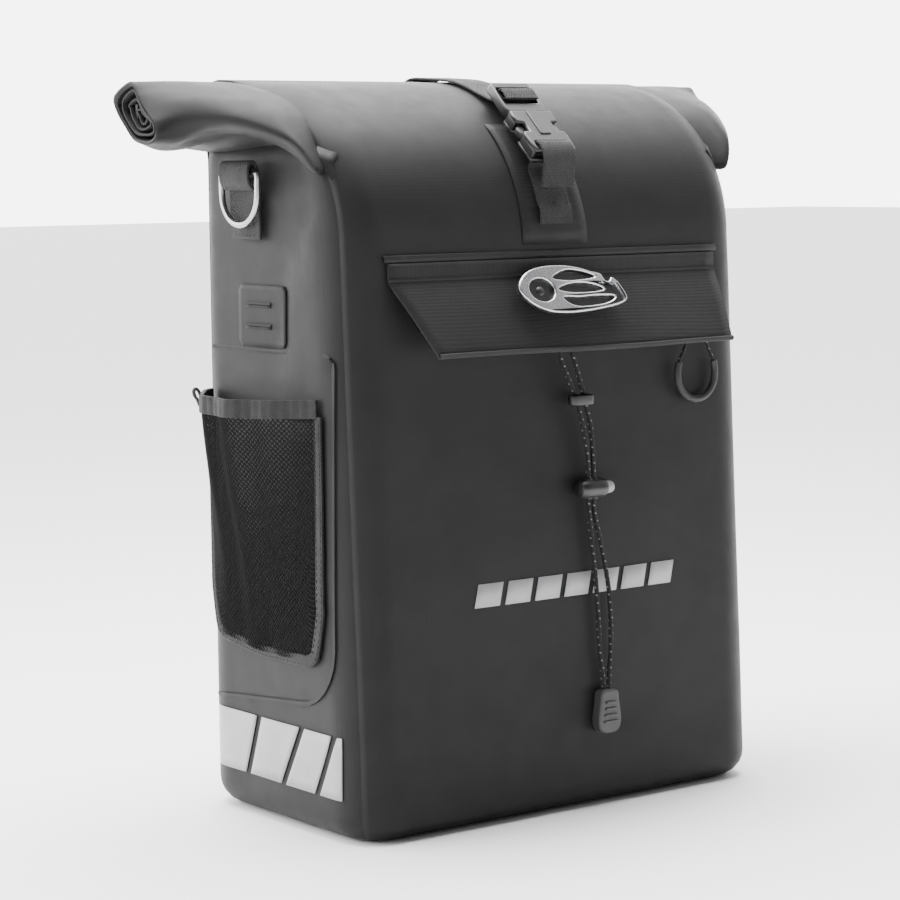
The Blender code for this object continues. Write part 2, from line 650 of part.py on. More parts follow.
def buckle():
    place, turn = buckle_frame()
    where = {"place": place, "turn_x": turn}
    half, tall = BUCKLE_WIDE / 2, BUCKLE_TALL / 2
    female = prism("buckle_female", rounded((-half + 0.0015, -0.034), (half - 0.0015, 0.002), 0.003), -tall,
                   tall,
                   "plastic", axis="Z", **where)
    cuts = {
        "mouth": ((-half + 0.0035, -0.0210, -tall + 0.0020), (half - 0.0035, 0.010, tall - 0.0020)),
        "window_left": ((-half - 0.01, -0.0190, -tall + 0.0020), (-half + 0.006, -0.0080, tall - 0.0020)),
        "window_right": ((half - 0.006, -0.0190, -tall + 0.0020), (half + 0.01, -0.0080, tall - 0.0020)),
        "slot": ((-WEB / 2 - 0.0006, -0.0300, -0.02), (WEB / 2 + 0.0006, -0.0300 + STRAP_SLOT, 0.02)),
    }
    for key, (low, high) in cuts.items():
        boolean(female, follow(box(f"female_{key}", low, high, None), female))
    male = prism("buckle_male", rounded((-half + 0.0015, 0.002 + GAP), (half - 0.0015, 0.029), 0.003),
                 -tall * 0.55,
                 tall * 0.75, "plastic", axis="Z", **where)
    for key, start in (("near", 0.0105), ("far", 0.0190)):
        low, high = (-WEB / 2 - 0.0006, start, -0.02), (WEB / 2 + 0.0006, start + STRAP_SLOT + 0.0008, 0.02)
        boolean(male, follow(box(f"male_slot_{key}", low, high, None), male))
    tongue = box("male_tongue", (-0.0035, -0.0180, -0.0018), (0.0035, 0.0040, 0.0018), None)
    boolean(male, follow(tongue, male), "UNION")
    for side, sign in SIDES.items():
        points = [(0.0062, 0.0012), (0.0085, 0.0012), (0.0118, -0.0085), (0.0150, -0.0095), (0.0162, -0.0125),
                  (0.0150, -0.0165), (0.0105, -0.0182), (0.0085, -0.0165), (0.0088, -0.0090)]
        outline = [(sign * (x - LATCH_X), y - LATCH_Y) for x, y in points]
        prism(f"buckle_latch_{side}", outline, -0.0022, 0.0022, "plastic", axis="Z",
              place=(sign * LATCH_X, *in_buckle(LATCH_Y, 0)), turn_x=turn)
    return place, turn


def in_buckle(y, z):
    """(y, z) in the bag's frame of a point given in the buckle's own frame."""
    (_, y0, z0), turn = buckle_frame()
    return (y0 + y * math.cos(turn) - z * math.sin(turn), z0 + y * math.sin(turn) + z * math.cos(turn))


def straps():
    """The stitched front strap through the female half, and the back strap over the roll into the male."""
    low_z = SHOULDER_Z + 0.0095
    path = [(front_y(low_z) - 0.0020, low_z), (front_y(low_z + 0.0085) - 0.0020, low_z + 0.0085),
            roof(math.radians(13), 0.0012 + GAP),
            roof(math.radians(20), 0.0008), roof(math.radians(26), 0.0008), in_buckle(-0.0300, -0.0080),
            in_buckle(-0.0264, -0.0078), in_buckle(-0.0264, 0.0068), in_buckle(-0.0365,
                                                                               0.0070), in_buckle(-0.0410,
                                                                                                  0.0030),
            in_buckle(-0.0445, -0.0040), in_buckle(-0.0500, -0.0125)]
    ribbon("front_strap", path, WEB, WEB_THICK, "webbing")
    top = SHOULDER_Z + ROOF_RISE
    back_face = BACK_Y + 0.0006
    path = [in_buckle(0.0120, 0.0048), in_buckle(0.0196, 0.0050), in_buckle(0.0207, 0.0036),
            in_buckle(0.0207, -0.0062)]
    path += [roof(math.radians(a), 0.0012 + GAP) for a in (72, 80, 90)]
    path += [(ROLL_Y + 0.004, top + 0.0010), (ROLL_Y + ROLL_THICK / 2 + 0.003, top - 0.0060),
             (BACK_Y + 0.0015, BACK_TOP_Z + 0.006), (back_face + WEB_THICK, BACK_TOP_Z - 0.004),
             (back_face + WEB_THICK, BACK_TOP_Z - 0.026)]
    ribbon("top_strap", [tuple(p) for p in path], WEB, WEB_THICK, "webbing")


# ---------------------------------------------------------------- side fittings
def side_fittings():
    face = WIDTH / 2
    for side, sign in SIDES.items():
        def out(a, b):
            return (min(sign * a, sign * b), max(sign * a, sign * b))

        x0, x1 = out(face + GAP, face + GAP + 0.0010)
        patch_z = BACK_TOP_Z - 0.0955
        outline = rounded((-0.020, patch_z - 0.0185), (0.032, patch_z + 0.0185), 0.003)
        prism(f"light_patch_{side}", outline, x0, x1, "coated_fabric")
        patch = bpy.data.objects[f"light_patch_{side}"]
        for key, z in (("low", patch_z - 0.0070), ("high", patch_z + 0.0060)):
            low, high = (min(0, sign * 0.2), -0.005, z), (max(0, sign * 0.2), 0.026, z + 0.0022)
            boolean(patch, box(f"light_slot_{key}_{side}", low, high, None))
        # Webbing tab that carries the D-ring, and the ring hanging in its loop
        tab_y, bar_z, near = 0.018, BACK_TOP_Z - 0.0105, face + GAP
        line = [(0, -0.0385), (0, 0.0025), (0.0012, 0.0065), (0.0048, 0.0090), (0.0084, 0.0065), (0.0092, 0),
                (0.0080, -0.0055), (0.0040, -0.0095)]
        path = [(sign * (near + a), bar_z + b) for a, b in line]
        if sign > 0:
            path = path[::-1]
        ribbon(f"ring_tab_{side}", path, TAB_WEB, WEB_THICK, "webbing", centre=tab_y, axis="Y")
        ring_x = sign * (face + GAP + WEB_THICK + 0.0026)
        wire, half, straight = 0.0032, 0.0195, 0.012
        points = [(ring_x, tab_y - half, bar_z), (ring_x, tab_y - half, bar_z - straight)]
        points += [(ring_x, tab_y - half * math.cos(math.radians(a)),
                    bar_z - straight - half * 0.95 * math.sin(math.radians(a)))
                   for a in range(20, 161, 20)]
        points += [(ring_x, tab_y + half, bar_z - straight), (ring_x, tab_y + half, bar_z)]
        ring = tube(f"d_ring_{side}", [Vector(p) for p in points], [wire / 2] * len(points), "steel",
                    (1, 0, 0))
        pivot(ring, (ring_x, tab_y, bar_z))
        mesh_pocket(side, sign, face)
        reflector(side, sign, face)


def mesh_pocket(side, sign, face):
    """Bottle pocket: a mesh bellows that closes on the wall at its foot and edges, and its elastic band."""
    low, high, front, back = 0.103, 0.252, -0.056, 0.058
    start, wall = face + GAP, 0.0012

    def row(z, out, thick):
        points = []
        for j in range(11):
            t = math.radians(180 * j / 10)
            y = (front + back) / 2 - (back - front) / 2 * math.cos(t)
            points.append(((sign * (start + thick + (out * math.sin(t) ** 0.7 if 0 < j < 10 else 0.0)), y,
                            z), (sign, 0, 0)))
        return points

    rows = [(low, 0.0), (low + 0.012, 0.010), (low + 0.035, 0.015), (low + 0.075, 0.019),
            (low + 0.110, 0.023),
            (high - GAP, 0.026)]
    skin(f"mesh_pocket_{side}", [row(z, out, wall) for z, out in rows], "mesh", wall)
    skin(f"pocket_band_{side}", [row(z, 0.026, 0.0020) for z in (high, high + 0.010)], "webbing", 0.0020)


def reflector(side, sign, face):
    """A dark carrier film with four raised slanting tiles."""
    x0, x1 = sign * (face + GAP), sign * (face + GAP + 0.0004)
    low, high = 0.024, 0.064
    front, back = front_y(low) + CORNER - 0.012, BACK_Y - CORNER + 0.004
    film = prism(f"reflector_{side}", [(front, low), (back, low), (back, high), (front, high)], min(x0, x1),
                 max(x0, x1),
                 "reflective")
    return film


# ---------------------------------------------------------------- back: rails, hooks, pad, handle
def c_rail(name, half, z, tall, deep):
    """A hollow rail, open to the rear through a slot, as (y, z) outline pushed along X."""
    y0 = BACK_Y + GAP
    lip, wall, h = 0.0050, 0.0018, tall / 2
    outline = [(y0, z - h), (y0 + deep, z - h), (y0 + deep, z - h + lip), (y0 + deep - wall, z - h + lip),
               (y0 + deep - wall, z - h + wall), (y0 + wall, z - h + wall), (y0 + wall, z + h - wall),
               (y0 + deep - wall, z + h - wall), (y0 + deep - wall, z + h - lip), (y0 + deep, z + h - lip),
               (y0 + deep, z + h), (y0, z + h)]
    return prism(name, outline, -half, half, "plastic")


def rail_end(name, sign, half, z, tall, deep):
    y0 = BACK_Y + GAP
    x = sign * (half + GAP)
    outline = rounded((y0, z - tall / 2), (y0 + deep, z + tall / 2), 0.002)
    return prism(name, outline, min(x, x + sign * 0.004), max(x, x + sign * 0.004), "plastic")


def rail_screw(side, sign):
    """A low-headed screw on the rail's floor, through the back panel into the board."""
    seat = BACK_Y + GAP + 0.0018
    x = sign * (RAIL_HALF - 0.006)
    bore = 0.0022
    cutter = turned(f"screw_bore_{side}", [(0, -0.0200), (bore, -0.0200), (bore, 0.0060), (0, 0.0060)], None,
                    (x, seat, RAIL_Z), axis="Y", steps=12)
    for name in ("hook_rail", "back_panel", "back_board"):
        boolean(bpy.data.objects[name], cutter)
    low = -(0.0018 + GAP + FABRIC + GAP + 0.0030)
    turned(f"rail_screw_{side}", [(0, low), (0.0017, low), (0.0017, GAP), (0.0040, GAP), (0.0036, 0.0018),
                                  (0, 0.0022)],
           "steel", (x, seat, RAIL_Z), axis="Y", steps=12)


def rack_hook(side, sign):
    """A hook body with its mouth for the rack tube, and the sprung jaw that closes the mouth."""
    x = sign * HOOK_X
    y0 = BACK_Y + GAP + RAIL_DEEP + GAP
    half = HOOK_WIDE / 2
    tube = RACK_TUBE / 2
    centre_y, centre_z = y0 + 0.0045 + tube, RAIL_Z - 0.006
    outline = [(y0, RAIL_Z - 0.030), (y0 + 0.0045, RAIL_Z - 0.030), (y0 + 0.0045, centre_z)]
    outline += [(centre_y - tube * math.cos(t), centre_z + tube * math.sin(t)) for t in
                (math.radians(180 * k / 8) for k in range(1, 8))]
    outline += [(centre_y + tube, centre_z), (centre_y + tube, RAIL_Z - 0.030),
                (centre_y + tube + 0.0030, RAIL_Z - 0.033),
                (centre_y + tube + 0.0048, RAIL_Z - 0.028), (centre_y + tube + 0.0048, centre_z + 0.004)]
    outline += [(centre_y + (tube + 0.0048) * math.cos(t), centre_z + 0.004 + (tube + 0.0040) * math.sin(t))
                for t in
                (math.radians(a) for a in range(20, 81, 20))]
    outline += [(y0 + 0.006, RAIL_Z + 0.0165), (y0, RAIL_Z + 0.0165)]
    hook = prism(f"rack_hook_{side}", outline, x - half, x + half, "plastic")
    pivot(hook, (x, y0, RAIL_Z))
    # T-shaped foot that runs in the rail
    foot = box(f"hook_neck_{side}", (x - half + 0.003, y0 - 0.0040, RAIL_Z - 0.0062),
               (x + half - 0.003, y0 + 0.0010, RAIL_Z + 0.0062), None)
    boolean(hook, foot, "UNION")
    flange = box(f"hook_flange_{side}", (x - half + 0.003, y0 - 0.0058, RAIL_Z - 0.0092),
                 (x + half - 0.003, y0 - 0.0030, RAIL_Z + 0.0092), None)
    boolean(hook, flange, "UNION")
    slot = box(f"hook_slot_{side}", (x - 0.0045, y0 + 0.0012, RAIL_Z - 0.035),
               (x + 0.0045, centre_y - tube + 0.002, RAIL_Z - 0.009), None)
    boolean(hook, slot)
    # The jaw: a pawl under the tube, with a lever tail to press
    pivot_y, pivot_z = y0 + JAW_PIVOT, RAIL_Z - JAW_DROP
    points = [(-0.0012, 0.0012), (0.0010, 0.0018), (0.0120, -0.0002), (0.0170, -0.0010), (0.0170, -0.0040),
              (0.0100, -0.0046),
              (0.0018, -0.0040), (0.0012, -0.0150), (-0.0014, -0.0155)]
    prism(f"hook_jaw_{side}", points, -0.0040, 0.0040, "plastic", place=(x, pivot_y, pivot_z))


def lower_anchor():
    """The lower rail's slider with its swinging arm that catches the rack's leg, on a hand screw."""
    y0 = BACK_Y + GAP + 0.0085
    x = 0.020
    plate = prism("anchor_slider", rounded((x - 0.016, LOWER_Z - 0.013), (x + 0.016, LOWER_Z + 0.013), 0.004),
                  y0 + GAP, y0 + 0.0034, "plastic", axis="Y")
    pivot(plate, (x, y0, LOWER_Z))
    neck = box("anchor_neck", (x - 0.012, y0 - 0.0040, LOWER_Z - 0.0047),
               (x + 0.012, y0 + 0.0010, LOWER_Z + 0.0047), None)
    boolean(plate, neck, "UNION")
    flange = box("anchor_flange", (x - 0.012, y0 - 0.0054, LOWER_Z - 0.0072),
                 (x + 0.012, y0 - 0.0028, LOWER_Z + 0.0072), None)
    boolean(plate, flange, "UNION")
    bore = turned("anchor_bore", [(0, -0.0040), (0.0026, -0.0040), (0.0026, 0.02), (0, 0.02)], None,
                  (x, y0, LOWER_Z), axis="Y", steps=16)
    boolean(plate, bore)
    arm_y = y0 + 0.0034 + GAP
    outline = [(-0.011, 0.011), (-0.011, -0.052), (-0.006, -0.062), (0.012, -0.062), (0.018, -0.056),
               (0.018, -0.040),
               (0.012, -0.040), (0.012, -0.050), (0.008, -0.053), (0.002, -0.050), (0.002, -0.030), (0.011,
                                                                                                     -0.010),
               (0.011, 0.011)]
    arm = prism("anchor_arm", outline, 0, 0.0060, "plastic", axis="Y", place=(x, arm_y, LOWER_Z))
    hole = turned("arm_bore", [(0, -0.02), (0.0026, -0.02), (0.0026, 0.03), (0, 0.03)], None,
                  (x, y0, LOWER_Z), axis="Y",
                  steps=16)
    boolean(arm, hole)
    knob_y = arm_y + 0.0060 + GAP
    turned("anchor_knob", [(0, -0.0125), (0.0022, -0.0125), (0.0022, 0), (0.0085, 0), (0.0095, 0.0012),
                           (0.0095, 0.0052),
                           (0.0085, 0.0062), (0, 0.0062)], "plastic", (x, knob_y,
                                                                       LOWER_Z), axis="Y", steps=16)


def back_pad():
    """The padded cover below the hooks: a soft pocket that sags to a bulge at its foot."""
    half, low, high = WIDTH / 2 - CORNER - 0.002, 0.034, LOWER_Z - 0.075
    y0 = BACK_Y + GAP
    outline = [(y0, high), (y0, low)]
    outline += [(y0 + 0.011 - 0.011 * math.cos(math.radians(a)),
                 low + 0.012 - 0.012 * math.sin(math.radians(a)))
                for a in (30, 60, 90)]
    outline += [(y0 + 0.020, low + 0.006), (y0 + 0.0235, low + 0.020), (y0 + 0.021, low + 0.040),
                (y0 + 0.012, high - 0.016),
                (y0 + 0.006, high - 0.002)]
    return prism("back_pad", outline, -half, half, "coated_fabric")


def carry_handle():
    """A webbing handle that hangs from two anchors above the rail."""
    y0 = BACK_Y + GAP
    z_anchor, half = BACK_TOP_Z - 0.012, 0.062
    for side, sign in SIDES.items():
        x = sign * half
        path = [(y0, z_anchor - 0.004), (y0, z_anchor + 0.008), (y0 + 0.0042, z_anchor + 0.0125),
                (y0 + 0.0090, z_anchor + 0.007), (y0 + 0.0075, z_anchor + 0.0010), (y0 + WEB_THICK + 0.0006,
                                                                                    z_anchor - 0.0015),
                (y0 + WEB_THICK + 0.0006, z_anchor - 0.004)]
        ribbon(f"handle_anchor_{side}", path[::-1], 0.020, 0.0010, "webbing", centre=x)
    y = y0 + 0.0042
    bar = z_anchor + 0.0068
    outline = [(-0.076, bar + 0.0012), (-0.076, bar - 0.0012), (-0.050, bar - 0.0012)]
    outline += [(-0.050 + 0.020 - 0.020 * math.cos(math.radians(a)),
                 bar - 0.0158 - 0.020 * math.sin(math.radians(a)))
                for a in (0, 30, 60, 90)]
    inner = [(-0.036 + 0.010 - 0.010 * math.cos(math.radians(a)),
              bar - 0.0118 - 0.010 * math.sin(math.radians(a)))
             for a in (90, 60, 30, 0)]
    half_outline = outline + [(-x, z) for x, z in reversed(outline)]
    back_edge = [(0.036 - 0.010 + 0.010 * math.cos(math.radians(a)),
                  bar - 0.0118 - 0.010 * math.sin(math.radians(a)))
                 for a in (0, 30, 60, 90)]
    top_edge = [(0.036, bar + 0.0012)] + back_edge + inner + [(-0.036, bar + 0.0012)]
    handle = prism("carry_handle", half_outline + top_edge, y - 0.0013, y + 0.0013, "webbing", axis="Y")
    pivot(handle, (0, y, bar))


def back():
    c_rail("hook_rail", RAIL_HALF, RAIL_Z, RAIL_TALL, RAIL_DEEP)
    c_rail("lower_rail", LOWER_HALF, LOWER_Z, 0.020, 0.0085)
    for side, sign in SIDES.items():
        rail_end(f"rail_cap_{side}", sign, RAIL_HALF, RAIL_Z, RAIL_TALL, RAIL_DEEP)
        rail_screw(side, sign)
        rack_hook(side, sign)
    lower_anchor()
    back_pad()
    carry_handle()


def main():
    for obj in list(bpy.data.objects):
        bpy.data.objects.remove(obj)
    body()
    front_pocket()
    rain_flap()
    bungee()
    buckle()
    straps()
    side_fittings()
    back()


main()
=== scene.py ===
"""Visual model of the roll-top pannier bag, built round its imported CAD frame. Metres, +Z up, front at -Y."""
import itertools
import math

import bmesh
import bpy
from mathutils import Matrix, Vector, noise


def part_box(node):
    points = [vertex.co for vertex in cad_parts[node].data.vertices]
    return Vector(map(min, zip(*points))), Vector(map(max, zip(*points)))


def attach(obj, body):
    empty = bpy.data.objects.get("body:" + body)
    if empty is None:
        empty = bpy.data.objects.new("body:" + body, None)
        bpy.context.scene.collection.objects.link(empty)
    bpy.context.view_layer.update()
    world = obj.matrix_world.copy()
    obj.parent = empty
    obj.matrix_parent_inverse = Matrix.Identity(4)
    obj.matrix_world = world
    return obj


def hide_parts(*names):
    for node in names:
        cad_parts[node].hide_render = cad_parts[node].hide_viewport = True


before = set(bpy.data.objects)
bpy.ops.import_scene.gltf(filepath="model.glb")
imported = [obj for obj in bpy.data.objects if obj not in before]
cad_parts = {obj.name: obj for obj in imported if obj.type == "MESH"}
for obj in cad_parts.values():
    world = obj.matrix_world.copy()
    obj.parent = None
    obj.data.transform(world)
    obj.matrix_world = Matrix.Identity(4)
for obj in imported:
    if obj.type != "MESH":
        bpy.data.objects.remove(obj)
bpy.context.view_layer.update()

SIDES = {"left": -1, "right": 1}

# Sizes read off the frame
FRONT_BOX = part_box("front_panel")
ROOF_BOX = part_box("roof_panel")
GAP = 0.0004
HALF = FRONT_BOX[1].x
SHOULDER = FRONT_BOX[1].z + GAP
LEAN = 0.045
FRONT0 = FRONT_BOX[0].y - LEAN * FRONT_BOX[0].z
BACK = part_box("hook_rail")[0].y - GAP
RISE = ROOF_BOX[1].z - SHOULDER
CORNER = 0.030
BASE_ROUND = 0.016
SEAM_TURN = math.radians(48)
WRAP_ANGLES = [math.radians(b) for b in (90, 70, 50, 30, 15)]
# (height, how far the wall is drawn in) up the rounded edge of the base
FOOT_LEVELS = [(BASE_ROUND * (1 - math.sin(b)), BASE_ROUND * (1 - math.cos(b))) for b in WRAP_ANGLES]
BACK_TOP = SHOULDER + 0.052


def front_y(z):
    """Outer face of the front at height z."""
    return FRONT0 + LEAN * z


def front_swell(z):
    """How far the middle of the front stands out at height z, below the zip."""
    return 0.0022 * math.sin(math.pi * smooth(z / 0.27))


REACH = ROOF_BOX[1].y - front_y(SHOULDER)


def roof(angle, out=0.0):
    """(y, z) on the roof, angle 0 at the shoulder and 90 degrees at the top, moved out along the normal."""
    y, z = -REACH * math.cos(angle), RISE * math.sin(angle)
    normal = Vector((y / REACH**2, z / RISE**2)).normalized()
    return Vector((front_y(SHOULDER) + REACH + y, SHOULDER + z)) + normal * out


def face_y(z):
    """Foremost y of the bag at height z, up the front and over the roof."""
    if z <= SHOULDER:
        return front_y(z)
    lift = min(0.999, (z - SHOULDER) / RISE)
    return front_y(SHOULDER) + REACH * (1 - math.sqrt(1 - lift**2))


def mm(*values):
    return [v / 1000 for v in values]


def mm_pairs(*pairs):
    """(a, b) points in metres from pairs in millimetres."""
    return [(a / 1000, b / 1000) for a, b in pairs]


def mirrored(half, on_axis=False):
    """An outline or line from its first half; on_axis when its last point lies on the axis, used once."""
    return half + [(-a, b) for a, b in reversed(half[:-1] if on_axis else half)]


def arc_points(centre, radii, angles):
    """(a, b) points on an ellipse about a centre, at angles in degrees."""
    (a, b), (wide, tall) = centre, radii
    return [(a + wide * math.cos(t), b + tall * math.sin(t)) for t in map(math.radians, angles)]


def middle(name):
    low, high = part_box(name)
    return (low + high) / 2


def lerp(a, b, t):
    return a + (b - a) * t


def smooth(t):
    t = max(0.0, min(1.0, t))
    return t * t * (3 - 2 * t)


def along(table, at):
    """Value read from a list of (place, value) pairs, smoothly between them."""
    if at <= table[0][0]:
        return table[0][1]
    for (a, va), (b, vb) in zip(table, table[1:]):
        if at <= b:
            return lerp(va, vb, smooth((at - a) / (b - a)) * 0.5 + 0.5 * (at - a) / (b - a))
    return table[-1][1]


def ripple(x, y, z, scale, seed=0.0):
    return noise.noise(Vector((x * scale + seed, y * scale - seed, z * scale + 0.7 * seed)))


def spline(points, steps, closed=False):
    """Catmull-Rom points through the given ones, as Vectors."""
    pts = [Vector(p) for p in points]
    n = len(pts)
    spans = n if closed else n - 1
    made = []
    for i in range(spans):
        p1, p2 = pts[i], pts[(i + 1) % n]
        p0 = pts[i - 1] if closed or i else 2 * p1 - p2
        p3 = pts[(i + 2) % n] if closed or i + 2 < n else 2 * p2 - p1
        for k in range(steps):
            t = k / steps
            made.append(0.5 * (2 * p1 + (p2 - p0) * t + (2 * p0 - 5 * p1 + 4 * p2 - p3) * t**2
                               + (3 * p1 - p0 - 3 * p2 + p3) * t**3))
    return made if closed else made + [pts[-1]]


def even(points, step):
    """The same open line read off at an even spacing."""
    pts = [Vector(p) for p in points]
    run = [0.0]
    for a, b in zip(pts, pts[1:]):
        run.append(run[-1] + (b - a).length)
    count = max(2, round(run[-1] / step))
    made, j = [], 0
    for k in range(count + 1):
        want = run[-1] * k / count
        while j < len(run) - 2 and run[j + 1] < want:
            j += 1
        made.append(pts[j].lerp(pts[j + 1], min(1.0, (want - run[j]) / max(1e-9, run[j + 1] - run[j]))))
    return made


# ---------------------------------------------------------------- camera, light and floor
def camera():
    azimuth, elevation, roll = math.radians(-37.057), math.radians(6.072), math.radians(-0.64)
    away = Vector((math.sin(azimuth) * math.cos(elevation), -math.cos(azimuth) * math.cos(elevation),
                   math.sin(elevation)))
    right = Vector((math.cos(azimuth), math.sin(azimuth), 0))
    up = away.cross(right)
    target = Vector((0, 0, 0.25)) - 0.0177 * right - 0.033 * up
    right, up = (right * math.cos(roll) + up * math.sin(roll), up * math.cos(roll) - right * math.sin(roll))
    cam = bpy.data.objects.new("camera", bpy.data.cameras.new("camera"))
    cam.data.sensor_width = 36
    cam.data.lens = 108.2
    place = target + away * 1.7211
    cam.matrix_world = Matrix((right, up, away)).transposed().to_4x4()
    cam.location = place
    bpy.context.scene.collection.objects.link(cam)
    bpy.context.scene.camera = cam


def area_light(name, place, target, size, power):
    lamp = bpy.data.objects.new(name, bpy.data.lights.new(name, "AREA"))
    lamp.data.shape = "RECTANGLE"
    lamp.data.size, lamp.data.size_y = size
    lamp.data.energy = power
    lamp.location = place
    lamp.rotation_euler = (Vector(place) - Vector(target)).to_track_quat("Z", "Y").to_euler()
    bpy.context.scene.collection.objects.link(lamp)


def studio():
    """A pale floor, a sky that is bright behind the bag and dim before it, and three soft lights."""
    world = bpy.data.worlds.new("studio")
    world.use_nodes = True
    tree = world.node_tree
    coords, parts, span = (tree.nodes.new(kind) for kind in
                           ("ShaderNodeTexCoord", "ShaderNodeSeparateXYZ", "ShaderNodeMapRange"))
    for key, value in (("From Min", -0.3), ("From Max", 0.55), ("To Min", 0.20), ("To Max", 6.5)):
        span.inputs[key].default_value = value
    tree.links.new(coords.outputs["Generated"], parts.inputs["Vector"])
    tree.links.new(parts.outputs["Y"], span.inputs["Value"])
    tree.links.new(span.outputs["Result"], tree.nodes["Background"].inputs["Strength"])
    tree.nodes["Background"].inputs["Color"].default_value = (1, 1, 1, 1)
    bpy.context.scene.world = world
    bpy.ops.mesh.primitive_plane_add(size=1, location=(0, 0, -0.0006))
    floor = bpy.context.object
    floor.name = "floor"
    floor.scale = (30, 30, 1)
    mat = bpy.data.materials.new("floor")
    mat.use_nodes = True
    shader = mat.node_tree.nodes["Principled BSDF"]
    shader.inputs["Base Color"].default_value = (0.90, 0.90, 0.90, 1)
    shader.inputs["Roughness"].default_value = 0.9
    shader.inputs["Specular IOR Level"].default_value = 0.1
    floor.data.materials.append(mat)
    area_light("overhead", (0.05, 0.15, 1.6), (0, 0.0, 0.35), (1.3, 1.0), 70)
    area_light("left_back", (-1.5, 0.35, 0.75), (-0.15, 0.0, 0.25), (0.7, 1.2), 12)
    area_light("right_front", (1.4, -0.9, 0.8), (0.1, -0.05, 0.25), (0.6, 1.2), 3)


# ---------------------------------------------------------------- materials
class Look:
    """A material's node tree with short ways to add to it."""

    def __init__(self, name, colour, rough, metal=0.0):
        self.mat = bpy.data.materials.new(name)
        self.mat.use_nodes = True
        self.tree = self.mat.node_tree
        self.shader = self.tree.nodes["Principled BSDF"]
        self.colour = colour
        self.set("Base Color", (*colour, 1))
        self.set("Roughness", rough)
        self.set("Metallic", metal)
        self.coords = self.tree.nodes.new("ShaderNodeTexCoord")
        self.height = None

    def set(self, socket, value):
        self.shader.inputs[socket].default_value = value

    def node(self, kind, **sockets):
        made = self.tree.nodes.new(kind)
        for key, value in sockets.items():
            made.inputs[key.replace("_", " ")].default_value = value
        return made

    def join(self, a, b):
        self.tree.links.new(a, b)

    def where(self, space, scale=(1, 1, 1), turn=0.0):
        place = self.node("ShaderNodeMapping")
        place.inputs["Scale"].default_value = scale
        place.inputs["Rotation"].default_value = (0, 0, turn)
        self.join(self.coords.outputs[space], place.inputs["Vector"])
        return place.outputs["Vector"]

    def noise(self, scale, detail=3.0, stretch=(1, 1, 1)):
        tex = self.node("ShaderNodeTexNoise", Scale=scale, Detail=detail, Roughness=0.55)
        self.join(self.where("Object", stretch), tex.inputs["Vector"])
        return tex.outputs["Fac"]

    def wave(self, scale, space="UV", turn=0.0):
        tex = self.node("ShaderNodeTexWave", Scale=scale)
        self.join(self.where(space, (1, 1, 1), turn), tex.inputs["Vector"])
        return tex.outputs["Fac"]

    def math(self, kind, a, b):
        made = self.tree.nodes.new("ShaderNodeMath")
        made.operation = kind
        for socket, value in zip(made.inputs, (a, b)):
            if isinstance(value, (int, float)):
                socket.default_value = value
            else:
                self.join(value, socket)
        return made.outputs[0]

    def span(self, fac, low, high):
        """A texture's middle range spread between two values."""
        made = self.node("ShaderNodeMapRange")
        limits = (("From Min", 0.25), ("From Max", 0.75), ("To Min", low), ("To Max", high))
        for key, value in limits:
            made.inputs[key].default_value = value
        self.join(fac, made.inputs["Value"])
        return made.outputs["Result"]

    def tint(self, fac, low, high, from_low=0.3, from_high=0.7):
        """Base colour between two shades by a texture."""
        ramp = self.node("ShaderNodeValToRGB")
        ramp.color_ramp.elements[0].position = from_low
        ramp.color_ramp.elements[1].position = from_high
        ramp.color_ramp.elements[0].color = (*low, 1)
        ramp.color_ramp.elements[1].color = (*high, 1)
        self.join(fac, ramp.inputs["Fac"])
        self.join(ramp.outputs["Color"], self.shader.inputs["Base Color"])

    def rough(self, fac, low, high):
        self.join(self.span(fac, low, high), self.shader.inputs["Roughness"])

    def bump(self, fac, distance, strength=1.0):
        made = self.node("ShaderNodeBump", Strength=strength, Distance=distance)
        self.join(fac, made.inputs["Height"])
        if self.height:
            self.join(self.height, made.inputs["Normal"])
        self.height = made.outputs["Normal"]
        self.join(self.height, self.shader.inputs["Normal"])


def shade(level, cool=1.03):
    return (level, level, level * cool)


def coated(name, level, weave, rough=0.50):
    """Coated fabric: fine grain over a faint plain weave, with soft unevenness from handling."""
    look = Look(name, shade(level), rough)
    look.set("Specular IOR Level", 0.16)
    look.set("Sheen Weight", 0.03)
    look.set("Sheen Roughness", 0.45)
    look.tint(look.noise(26, 5), shade(level * 0.86), shade(level * 1.12))
    look.rough(look.noise(70, 4), rough - 0.05, rough + 0.07)
    look.bump(look.noise(11, 2), 0.0035, 0.32)
    across = look.math("MULTIPLY", look.wave(330, "Object"), look.wave(330, "Object", math.pi / 2))
    look.bump(across, 0.00010 * weave, 0.7)
    look.bump(look.noise(2600, 2), 0.00016, 0.5)
    return look.mat


def webbing(name, level):
    """Woven strap: herringbone ribs from the strap's own length and width."""
    look = Look(name, shade(level, 1.02), 0.72)
    look.set("Specular IOR Level", 0.3)
    look.set("Sheen Weight", 0.06)
    one, two = look.wave(210, "UV", math.radians(52)), look.wave(210, "UV", math.radians(-52))
    both = look.math("MAXIMUM", one, two)
    look.tint(both, shade(level * 0.55), shade(level * 1.35), 0.35, 0.95)
    look.bump(both, 0.00045, 0.9)
    look.bump(look.noise(1800, 2), 0.0002, 0.5)
    look.rough(look.noise(120, 3), 0.64, 0.80)
    return look.mat


def plastic(name, level, rough):
    look = Look(name, shade(level), rough)
    look.tint(look.noise(40, 4), shade(level * 0.85), shade(level * 1.2))
    look.rough(look.noise(160, 4), rough - 0.06, rough + 0.10)
    look.bump(look.noise(1500, 2), 0.00010, 0.35)
    look.bump(look.noise(60, 2, stretch=(1, 1, 7)), 0.0003, 0.10)
    return look.mat


